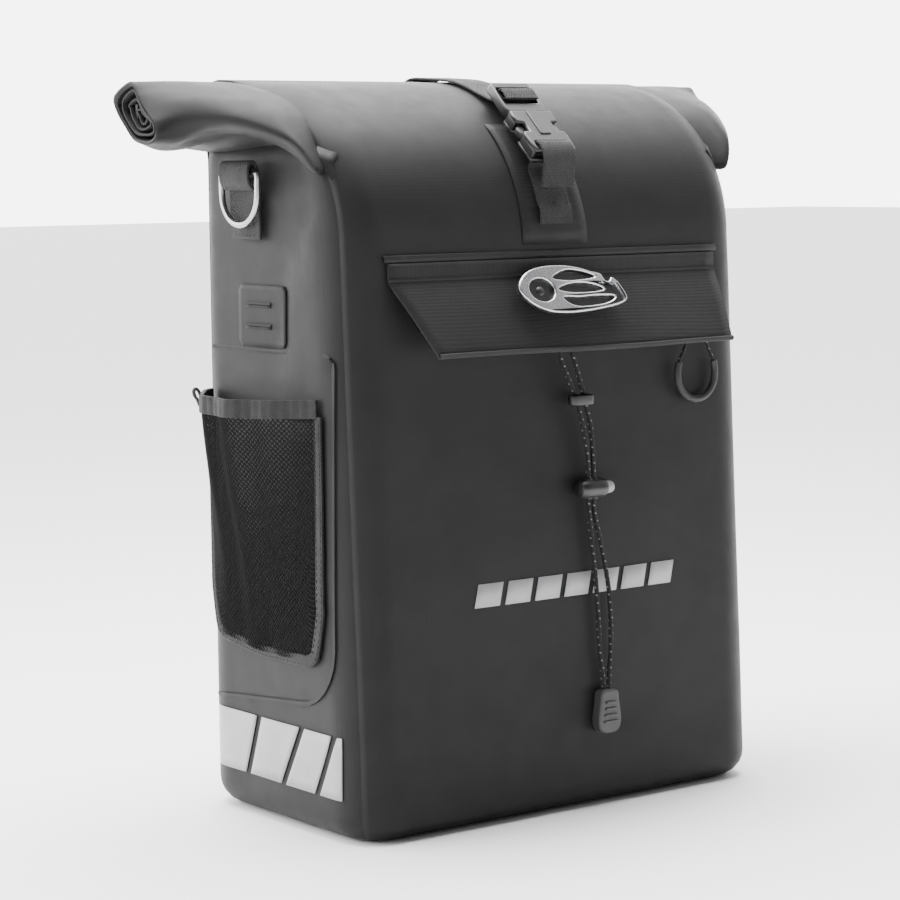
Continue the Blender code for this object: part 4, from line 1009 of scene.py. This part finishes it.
# (x, drop below the anchor) along each cord
ROUTES = {
    "left": mm_pairs((-6, 0), (-5.6, 6.5), (-3.5, 14.5), (2, 26.5), (6.6, 36.5), (10.5, 50.5), (13, 62.5),
                     (14.2, 74.5), (14.2, 91.5), (14.2, 106.5), (16.5, 130.5), (19, 160.5), (20, 190.5),
                     (21.6, 205.5), (22.2, 219.5), (22.2, 233)),
    "right": mm_pairs((3, 0), (3.6, 6.5), (6.2, 14.5), (10, 26.5), (12.8, 36.5), (16.5, 50.5), (18, 62.5),
                      (18.4, 74.5), (18.4, 91.5), (18.4, 106.5), (24, 130.5), (29, 160.5), (29, 190.5),
                      (27.2, 205.5), (26.4, 219.5), (26.4, 233)),
}


def cord_y(z):
    return front_y(z) - 0.0090 + 0.0035 * (CORD_TOP - z) / (CORD_TOP - TAB_Z)


def bungee():
    for side in SIDES:
        points = [Vector((x, cord_y(CORD_TOP - d), CORD_TOP - d)) for x, d in ROUTES[side]]
        line = even(spline(points, 10), 0.0025)
        cord = sweep(f"elastic_cord_{side}", line, ring_section(0.0015, 10), (0, 1, 0), "cord",
                     nodes=(f"bungee_cord_{side}",))
    z, x = CORD_TOP, -0.0015
    anchor = [Vector((x, y, z + up)) for y, up in (
        (front_y(z + 0.012) - 0.001, 0.0150), (front_y(z) - 0.0030, 0.0105), (front_y(z) - 0.0085, 0.0060),
        (cord_y(z) - 0.0004, 0.0006))]
    section = [(a, b - 0.0016) for a, b in strap_section(0.0180, 0.0036)]
    sweep("cord_anchor_tab", spline(anchor, 5), section, (1, 0, 0), "webbing", nodes=("cord_anchor",))
    mid = middle("cord_bead")
    holes = [ring_section(0.0019, 16, 1.0, (x - mid.x, 0.0)) for x in (0.0066, 0.0128)]
    outline = rounded((-0.0090, -0.0042), (0.0090, 0.0042), 0.0040, 6)
    slab("cord_bead_body", [outline] + holes, -0.0032, 0.0032, 0.0011, "plastic",
         frame_at(mid, (1, 0, 0), (0, 1, 0)), nodes=("cord_bead",), steps=3)
    cord_stop()
    end_tab()


def cord_stop():
    """A barrel stopper with two eyed holes and a sprung button."""
    mid = middle("cord_lock")
    barrel = mm_pairs((0, -10.2), (3, -10.2), (4.6, -9.4), (5.6, -7.6), (6, -4), (5.8, 0), (6, 5), (6, 8.2),
                      (5.4, 9.8), (4.6, 10), (4.4, 7), (0, 7))
    turned("cord_stop_barrel", barrel, mid, (1, 0, 0), "plastic", "stopper",
           ("cord_lock", "cord_lock_spring"))
    eye = mm_pairs((1.6, -0.6), (2.4, -0.6), (2.6, 0), (2.2, 0.7), (1.6, 0.7))
    for side, x in (("left", 0.0142), ("right", 0.0184)):
        for key, end in (("low", -1), ("high", 1)):
            turned(f"cord_stop_eye_{side}_{key}", eye, Vector((x, mid.y, mid.z + end * 0.0057)), (0, 0, end),
                   "plastic", "stopper", steps=20)
    button = mm_pairs((0, 7.2), (4.1, 7.2), (4.1, 14), (3.6, 15.8), (2.2, 16.7), (0, 16.8))
    turned("cord_stop_button", button, mid, (1, 0, 0), "pale", "stopper_button", ("cord_lock_button",))


def end_tab():
    mid = middle("cord_end_tab")
    flat = frame_at((mid.x, mid.y, TAB_Z), (1, 0, 0), (0, 0, 1))
    outline = loop2d(mirrored(mm_pairs((5.6, 13), (7.4, 6), (9, -4), (8.2, -10.5), (4, -13.6))), 5)
    slab("cord_end_grip", [outline], -0.0040, 0.0040, 0.0015, "grip", flat, nodes=("cord_end_tab",), steps=3)
    for k in range(4):
        z = 0.0056 - 0.0040 * k
        wide = 0.0040 + 0.0005 * k
        bar = rounded((-wide, z - 0.0009), (wide, z + 0.0009), 0.0009, 4)
        slab(f"cord_end_rib_{k + 1}", [bar], 0.0034, 0.0051, 0.0005, "grip", flat)


# ---------------------------------------------------------------- closing strap and buckle
BUCKLE_ARC = math.radians(44)
WEB, WEB_THICK = 0.025, 0.0016
ANCHOR = roof(BUCKLE_ARC, 0.0082)
SLOPE = roof(BUCKLE_ARC + 0.05) - roof(BUCKLE_ARC - 0.05)
TURN = math.atan2(SLOPE.y, SLOPE.x)
BUCKLE_FRAME = frame_at((0, ANCHOR.x, ANCHOR.y), (1, 0, 0), (0, math.cos(TURN), math.sin(TURN)))


def in_buckle(y, z):
    place = BUCKLE_FRAME @ Vector((0, y, z))
    return (place.y, place.z)


def strap_line(points):
    """A strap's line in the middle plane, read off evenly."""
    return even(spline([Vector((0, y, z)) for y, z in points], 5), 0.002)


def straps():
    section = strap_section(WEB, WEB_THICK)
    low = SHOULDER + 0.0095
    front = [(front_y(z) - 0.0020, z) for z in (low, low + 0.0085)]
    front += [tuple(roof(math.radians(a), out)) for a, out in ((13, 0.0016), (20, 0.0010), (26, 0.0010))]
    front += [in_buckle(*spot) for spot in mm_pairs((-30, -7.8), (-26.8, -7.8), (-26.2, 0), (-26.8, 6.6),
                                                    (-33, 7.2), (-40, 3.6), (-44.5, -3), (-50, -10.5))]
    sweep("front_strap_web", strap_line(front), section, (-1, 0, 0), "webbing", nodes=("front_strap",))
    box_stitching(low)
    top = [in_buckle(*spot) for spot in mm_pairs((12, 4.8), (19.2, 5.2), (20.8, 3.6), (21, -5))]
    top += [tuple(roof(math.radians(a), 0.0018)) for a in (72, 80, 90)]
    top += mm_pairs((50, 451.6), (60, 448), (66, 440), (72, 428), (80.5, 414), (84.2, 404), (84.6, 392),
                    (84.4, 379))
    sweep("top_strap_web", strap_line(top), section, (-1, 0, 0), "webbing", nodes=("top_strap",))


def box_stitching(low):
    """The cross-box that sews the strap's end to the bag."""
    def spot(x, up):
        z = low + up
        bend_z = SHOULDER + 0.012
        return Vector((x, front_y(min(z, bend_z)) - 0.0038 + max(0.0, z - bend_z) * 0.22, z))

    w, a, b = mm(9.8, 2.6, 20.5)
    corners = [spot(-w, a), spot(w, a), spot(-w, b), spot(w, b)]
    lines = [[corners[i], corners[j]] for i, j in ((0, 1), (2, 3), (0, 2), (1, 3), (0, 3), (1, 2))]
    stitches("strap_box_stitch", lines, (0, -1, 0.1))


def strap_base():
    """The welded trapezoid under the buckle, from the header up over the roof's front."""
    rows = []
    for k in range(15):
        v = k / 14
        out = 0.0010 if 0 < k < 14 else 0.0004
        if v < 0.04:
            y, z = front_y(SHOULDER - 0.003) - out, SHOULDER - 0.003
        else:
            y, z = roof(math.radians(46 * v), out)
        left, right = lerp(-0.0245, -0.0275, v), lerp(0.0260, 0.0180, v)
        rows.append([Vector((lerp(left, right, j / 8), y, z)) for j in range(9)])
    sheet("strap_base", rows, "patch", (0, -1, 0.3), 0.0007, nodes=("strap_patch",))


def side_bar(name, sign, x_span, y_span, radius):
    """A small block at one side of the buckle's socket."""
    near, far = sorted(sign * x for x in x_span)
    slab(name, [rounded((near, y_span[0]), (far, y_span[1]), radius)], -0.0030, 0.0030, 0.0005, "plastic",
         BUCKLE_FRAME)


def buckle():
    half = 0.0165
    insets = mm_pairs((1, -33.5), (0.4, -27), (0, -20), (0.8, -17), (5.8, -16.5), (5.8, -8.5), (0.6, -7.8),
                      (0.6, 1.6))
    female = mirrored([(half - inset, y) for inset, y in insets])
    slot = rounded((-WEB / 2 - 0.0005, -0.0300), (WEB / 2 + 0.0005, -0.0258), 0.0012)
    slab("buckle_socket_top", [female, slot], 0.0024, 0.0052, 0.0009, "plastic", BUCKLE_FRAME,
         nodes=("buckle_female",), steps=3)
    slab("buckle_socket_bottom", [female, slot], -0.0050, -0.0026, 0.0008, "plastic", BUCKLE_FRAME)
    spine = rounded((-0.0042, -0.0200), (0.0042, 0.0010), 0.0012)
    slab("buckle_socket_ridge", [spine], 0.0044, 0.0060, 0.0006, "plastic", BUCKLE_FRAME)
    arm = mm_pairs((6.2, 1.2), (8.5, 1.2), (11.2, -7), (14.6, -8.8), (16.2, -11.5), (15.7, -15.8),
                   (12.8, -17.8), (10, -17.6), (8.6, -15), (8, -8))
    for side, sign in SIDES.items():
        side_bar(f"buckle_cheek_{side}", sign, (half - 0.0032, half - 0.0006), (-0.0075, 0.0014), 0.0008)
        side_bar(f"buckle_heel_{side}", sign, (half - 0.0036, half - 0.0004), (-0.0330, -0.0180), 0.0010)
        outline = loop2d([(sign * x, y) for x, y in arm], 4)
        slab(f"buckle_arm_{side}", [outline], -0.0021, 0.0021, 0.0007, "plastic", BUCKLE_FRAME,
             f"latch_{side}", (f"buckle_latch_{side}",))
    male = mirrored([(half - inset, y) for inset, y in mm_pairs((2.2, 2.4), (0.8, 6), (1.2, 27), (3, 29.2))])
    slots = [rounded((-WEB / 2 - 0.0004, a), (WEB / 2 + 0.0004, b), 0.0012)
             for a, b in mm_pairs((10.5, 15.2), (19, 24))]
    slab("buckle_plug", [male] + slots, -0.0026, 0.0036, 0.0010, "plastic", BUCKLE_FRAME, "strap_clip",
         ("buckle_male",), 3)
    tongue = loop2d(mirrored(mm_pairs((-3.4, 3), (-3, -12), (-1.8, -17.2))), 4)
    slab("buckle_tongue", [tongue], -0.0017, 0.0017, 0.0006, "plastic", BUCKLE_FRAME, "strap_clip")


# ---------------------------------------------------------------- side fittings
def ring_and_tab(side, sign):
    """A webbing tab looped round the straight side of a steel D-ring."""
    low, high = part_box(f"ring_tab_{side}")
    mid_y, bar_z, near = (low.y + high.y) / 2, BACK_TOP - 0.0105, HALF + GAP
    line = mm_pairs((-1, -39), (-0.6, -20), (0, -2), (0.6, 3), (2.4, 7.2), (5.2, 8.2), (8, 6), (9, 0.5),
                    (8, -6), (4.8, -9.6))
    path = even(spline([Vector((sign * (near + a), mid_y, bar_z + b)) for a, b in line], 5), 0.0018)
    across = (0, -sign, 0)
    sweep(f"ring_tab_web_{side}", path, strap_section(high.y - low.y, WEB_THICK), across, "webbing",
          nodes=(f"ring_tab_{side}",))
    ring_x = sign * (near + WEB_THICK + 0.0026)
    half, straight = 0.0195, 0.0120
    points = [(-half, 0.0), (-half, -straight)]
    points += arc_points((0, -straight), (-half, -half * 0.95), range(15, 166, 15))
    points += [(half, -straight), (half, 0.0)]
    ring = []
    for (a, b), (c, d) in zip(points, points[1:] + points[:1]):
        parts = max(1, int(math.dist((a, b), (c, d)) / 0.004))
        for t in (k / parts for k in range(parts)):
            ring.append(Vector((ring_x, mid_y + lerp(a, c, t), bar_z + lerp(b, d, t))))
    sweep(f"ring_wire_{side}", spline(ring, 2, closed=True), ring_section(0.0019, 14), (1, 0, 0), "steel",
          f"ring_{side}", (f"d_ring_{side}",), closed=True)
    x, half_row = sign * (near + 0.0018), 0.0125
    lines = [[Vector((x, mid_y + end * half_row, bar_z - drop)) for end in (-1, 1)] for drop in mm(36.5, 30)]
    stitches(f"ring_tab_stitch_{side}", lines, (sign, 0, 0))


LIGHT_SLOTS = (("low", 0.3015), ("high", 0.3145))


def light_patch(side, sign):
    """A patch for a clip-on light, with two slots that have a raised upper lip."""
    low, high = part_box(f"light_patch_{side}")
    wall_patch(f"light_loop_{side}", (low.y, high.y), (low.z, high.z), 0.0006, "patch", sign,
               (f"light_patch_{side}",), 0.003, 0.0010)
    for key, z in LIGHT_SLOTS:
        def slot_line(out, up, z=z):
            return [Vector((sign * (side_x(y, z) + out), y, z + up))
                    for y in (lerp(-0.004, 0.024, j / 6) for j in range(7))]

        rows = [slot_line(0.0010, up) for up in (-0.0009, 0.0009)]
        sheet(f"light_slot_{key}_{side}", rows, "inner", (sign, 0, 0), 0.0003)
        edge = slot_line(0.0012, 0.0016)
        weld_line(f"light_slot_lip_{key}_{side}", edge, "patch", 0.0012, 0.0005, (0, 0, 1))


POCKET = {"front": -0.055, "rear": 0.062, "low": 0.105, "high": 0.252}


def pocket_point(share, rise, sign):
    """A point of the pocket's net: share runs front to rear, rise from foot to top."""
    y = lerp(POCKET["front"], POCKET["rear"], share)
    corner = max(0.0, (abs(2 * share - 1) - 0.72) / 0.28)
    foot = POCKET["low"] + 0.016 * corner**2.4 + (0.006 if share > 0.5 else 0) * smooth((share - 0.5) * 2)
    z = lerp(foot, POCKET["high"], rise)
    belly = math.sin(math.pi * share**1.45) ** 0.75 if 0 < share < 1 else 0.0
    out = 0.0245 * belly * (0.10 + 0.90 * smooth(rise * 1.05) ** 0.8) * (0.35 + 0.65 * rise)
    folds = 0.0012 * math.sin(share * 24 + 2 * rise) * belly * (0.4 + rise)
    return Vector((sign * (side_x(y, z) + 0.0014 + out + folds), y, z))


def net_sheet(side, sign):
    """Diamond net as real strands."""
    across, up = 38, 48
    points, index, faces = [], {}, []

    def vertex(i, j):
        if (i, j) not in index:
            index[i, j] = len(points)
            points.append(pocket_point(i / (2 * across), j / (2 * up), sign))
        return index[i, j]

    for i in range(1, 2 * across):
        for j in range(1, 2 * up):
            if (i + j) % 2:
                faces.append((vertex(i - 1, j), vertex(i, j - 1), vertex(i + 1, j), vertex(i, j + 1)))
    obj = shape(f"pocket_net_{side}", points, faces, "net", nodes=(f"mesh_pocket_{side}",))
    strands = obj.modifiers.new("strands", "WIREFRAME")
    strands.thickness = 0.00115
    strands.use_even_offset = False
    strands.use_boundary = True
    strands.use_replace = True


def pocket(side, sign):
    """The mesh pocket: net over a dark sheet of painted shade for its shadowed inside, elastic top band, sewn
    binding and a small pull loop.
    """
    net_sheet(side, sign)
    # Dark sheet on the wall behind the net: painted shade, so the inside of the pocket looks shadowed through
    # the holes.
    rows = []
    for j in range(13):
        line = [pocket_point(k / 24, lerp(0.01, 0.97, j / 12), sign) for k in range(25)]
        rows.append([Vector((sign * (side_x(p.y, p.z) + 0.0007), p.y, p.z)) for p in line])
    sheet(f"pocket_painted_shade_{side}", rows, "trim", (sign, 0, 0), 0.0004)
    top = [pocket_point(u, 1.0, sign) + Vector((0, 0, 0.0045 - 0.0018 * math.sin(math.pi * u)))
           for u in (k / 60 for k in range(61))]
    section = mm_pairs((-5.5, -1.1), (-4.5, -1.5), (4.5, -1.5), (5.5, -1.1), (5.5, 1.1), (4.5, 1.5),
                       (-4.5, 1.5), (-5.5, 1.1))
    gathered = [p + Vector((sign * 0.0004 * math.sin(i * 1.9), 0, 0)) for i, p in enumerate(top)]
    sweep(f"pocket_elastic_{side}", gathered, section, (0, 0, 1), "trim", nodes=(f"pocket_band_{side}",))
    border = [pocket_point(0.0, 1.0 - k / 20, sign) for k in range(19)]
    border += [pocket_point(k / 40, 0.0, sign) for k in range(2, 39)]
    border += [pocket_point(1.0, k / 20, sign) for k in range(2, 21)]
    border = even(spline([Vector((sign * (side_x(p.y, p.z) + 0.0012), p.y, p.z)) for p in border], 2), 0.003)
    flat = mm_pairs((-0.7, -3.8), (0.6, -3.8), (1, -3), (1, 3), (0.6, 3.8), (-0.7, 3.8))
    sweep(f"pocket_binding_{side}", border, flat, (sign, 0, 0), "trim")
    for key, shift in (("outer", -0.0022), ("inner", 0.0024)):
        line = []
        for a, p, b in zip(border, border[1:], border[2:]):
            run = (b - a).normalized()
            line.append(p + Vector((sign, 0, 0)) * 0.0011 + run.cross(Vector((1, 0, 0))) * shift)
        stitches(f"pocket_stitch_{key}_{side}", [line], (sign, 0, 0), radius=0.00032)
    loop = mm_pairs((0, 0), (1.6, 4), (3.4, 6.2), (4.8, 4.6), (4.2, 1.6), (2.6, -1), (1.2, -4.4),
                    (-0.6, -5.6))
    at = top[-4]
    sweep(f"pocket_loop_{side}", spline([at + Vector((sign * a, 0.004 + 0.3 * a, b)) for a, b in loop], 5),
          [(a * 1.8, b) for a, b in ring_section(0.0009, 8)], (0, 1, 0), "trim")


def pocket_panel(side, sign):
    """The welded panel that the pocket is sewn to: a faint step round it."""
    low, high, front, rear, corner = 0.078, 0.288, -0.0660, 0.0640, 0.036
    line = [(rear, high), (front + 0.004, high), (front, high - 0.004)]
    line += [(front, low + corner + 0.02 * k) for k in range(8, -1, -1)]
    line += arc_points((front + corner, low + corner), (-corner, -corner), range(15, 91, 15))
    line += [(lerp(front + corner, rear, k / 8), low - 0.008 * k / 8) for k in range(1, 9)]
    points = [Vector((sign * (side_x(y, z) - 0.0004), y, z)) for y, z in line]
    weld_line(f"pocket_panel_weld_{side}", even(points, 0.004), "fabric", 0.0026, 0.0009, (0, 0.7, 0.7))


def reflector(side, sign):
    """Four reflective blocks split by slanted gaps."""
    cuts = [(0.0640, 0.0640), (0.0150, 0.0290), (-0.0310, -0.0110), (-0.0650, -0.0470), (-0.0715, -0.0715)]
    for k in range(4):
        rear, front = cuts[k], cuts[k + 1]
        pad = 0.0028

        def edges(v, rear=rear, front=front, first=k == 0, last=k == 3):
            back = lerp(rear[1], rear[0], v) - (0 if first else pad)
            fore = lerp(front[1], front[0], v) + (0 if last else pad)
            return (min(fore, back - 0.0006), back)

        nodes = (f"reflector_{side}",) if k == 0 else ()
        wall_patch(f"reflective_block_{side}_{k + 1}", None, (0.0255, 0.0630), 0.0002, "film", sign, nodes,
                   thick=0.0004, edges=edges, steps=(10, 6))


def side_fittings():
    for side, sign in SIDES.items():
        ring_and_tab(side, sign)
        light_patch(side, sign)
        pocket_panel(side, sign)
        pocket(side, sign)
        reflector(side, sign)


# ---------------------------------------------------------------- back
def back_pad():
    """The soft padded cover: a crowned closed form with piped edges and two sewn channels."""
    low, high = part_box("back_pad")
    half = high.x - 0.001
    wide, tall, deep = 48, 20, high.y - low.y
    front, rear = [], []
    for j in range(tall + 1):
        v = j / tall
        rows = ([], [])
        for i in range(wide + 1):
            u = 2 * i / wide - 1
            crown = (1 - abs(u) ** 8) ** 0.5 * (max(0.0, math.sin(math.pi * v**0.72))) ** 0.62
            seam = math.exp(-((abs(u) - 0.36) / 0.018) ** 2)
            swell = deep * crown * (1 - 0.42 * seam) * (0.86 + 0.10 * ripple(u, 0, v, 2.2, 4.0))
            bulge = 1.0 + 0.10 * math.sin(math.pi * (1 - v)) ** 2
            x, z = half * u * (0.995 - 0.01 * math.sin(math.pi * v)), lerp(low.z + 0.001, high.z - 0.001, v)
            rows[0].append(Vector((x, low.y + 0.0010 + min(deep - 0.0015, swell * bulge), z)))
            rows[1].append(Vector((x, low.y + 0.0002, z)))
        front.append(rows[0])
        rear.append(rows[1])
    points = [p for row in front for p in row] + [p for row in rear for p in row]
    cols, count, faces = wide + 1, (wide + 1) * (tall + 1), []
    for j in range(tall):
        for i in range(wide):
            a = j * cols + i
            faces.append((a, a + 1, a + cols + 1, a + cols))
            faces.append(tuple(count + q for q in (a, a + cols, a + cols + 1, a + 1)))
    rim = list(range(cols)) + [(j + 1) * cols - 1 for j in range(1, tall + 1)]
    rim += [tall * cols + i for i in range(wide - 1, -1, -1)] + [j * cols for j in range(tall - 1, 0, -1)]
    for a, b in zip(rim, rim[1:] + rim[:1]):
        faces.append((a, b, b + count, a + count))
    pad = shape("back_pad_cover", points, faces, "patch", nodes=("back_pad",), sharp=70)
    edge = [points[k] + Vector((0, 0.0006, 0)) for k in rim]
    sweep("back_pad_piping", spline(edge, 1, closed=True), ring_section(0.0013, 8), (0, 1, 0), "trim",
          closed=True)


def handle():
    """The carry handle's webbing and the two loops that hold it."""
    y, bar = middle("carry_handle").y, BACK_TOP - 0.012 + 0.0068
    half = mm_pairs((-66, 0), (-58, 0.4), (-50, 4), (-43, 15), (-33, 26), (-18, 30.5), (0, 31.5))
    line = mirrored([(x, bar - drop) for x, drop in half], True)
    path = even(spline([Vector((x, y, z)) for x, z in line], 6), 0.002)
    section = mm_pairs((-1.4, -4.5), (1.4, -4.5), (1.8, -3.9), (1.8, 3.9), (1.4, 4.5), (-1.4, 4.5),
                       (-1.8, 3.9), (-1.8, -3.9))
    sweep("carry_handle_web", path, section, (0, 1, 0), "webbing", "handle", ("carry_handle",))
    loop = mm_pairs((0.4, -12), (0.4, 6), (2, 10.8), (4.6, 11.8), (7.8, 9.2), (8.8, 4), (6.6, -1), (3, -5),
                    (2, -12))
    for side in SIDES:
        x, y0, z = middle(f"handle_anchor_{side}").x, BACK + GAP, BACK_TOP - 0.012
        path = even(spline([Vector((x, y0 + a, z + b)) for a, b in loop], 5), 0.0016)
        sweep(f"handle_loop_{side}", path, strap_section(0.020, 0.0011), (1, 0, 0), "webbing",
              nodes=(f"handle_anchor_{side}",))


CAD_LOOKS = {
    "plastic": ("hook_rail", "lower_rail", "rail_cap_left", "rail_cap_right", "rack_hook_left",
                "rack_hook_right", "anchor_slider", "anchor_arm"),
    "matt_plastic": ("hook_jaw_left", "hook_jaw_right", "anchor_knob"),
    "steel": ("rail_screw_left", "rail_screw_right", "zip_slider"),
    "board": ("back_board", "roll_stiffener"),
}


def frame_looks():
    """The CAD's own mouldings stay, with softened edges and finished materials."""
    for look, names in CAD_LOOKS.items():
        for name in names:
            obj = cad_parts[name]
            obj.data.materials.clear()
            obj.data.materials.append(LOOKS[look][0])
            soften(obj, 0.0006 if look != "steel" else 0.0003, 2, 35)


def knob_grips():
    """Raised ribs round the lower knob."""
    low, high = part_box("anchor_knob")
    mid = (low + high) / 2
    radius = (high.x - low.x) / 2 - 0.0003
    grip = mm_pairs((0.4, 0.8), (1.2, 1.4), (1.2, 5), (0.4, 5.6))
    for k in range(12):
        t = math.tau * k / 12
        place = (mid.x + math.cos(t) * radius, high.y - 0.0062, mid.z + math.sin(t) * radius)
        turned(f"knob_grip_{k + 1}", grip, place, (0, 1, 0), "matt_plastic", "lower_knob", steps=8)


def main():
    camera()
    bungee()
    studio()
    body_fabric()
    header()
    flap()
    helmet_hook()
    front_zip()
    zip_pull()
    front_badge()
    strap_base()
    straps()
    buckle()
    side_fittings()
    back_pad()
    handle()
    knob_grips()
    frame_looks()


main()
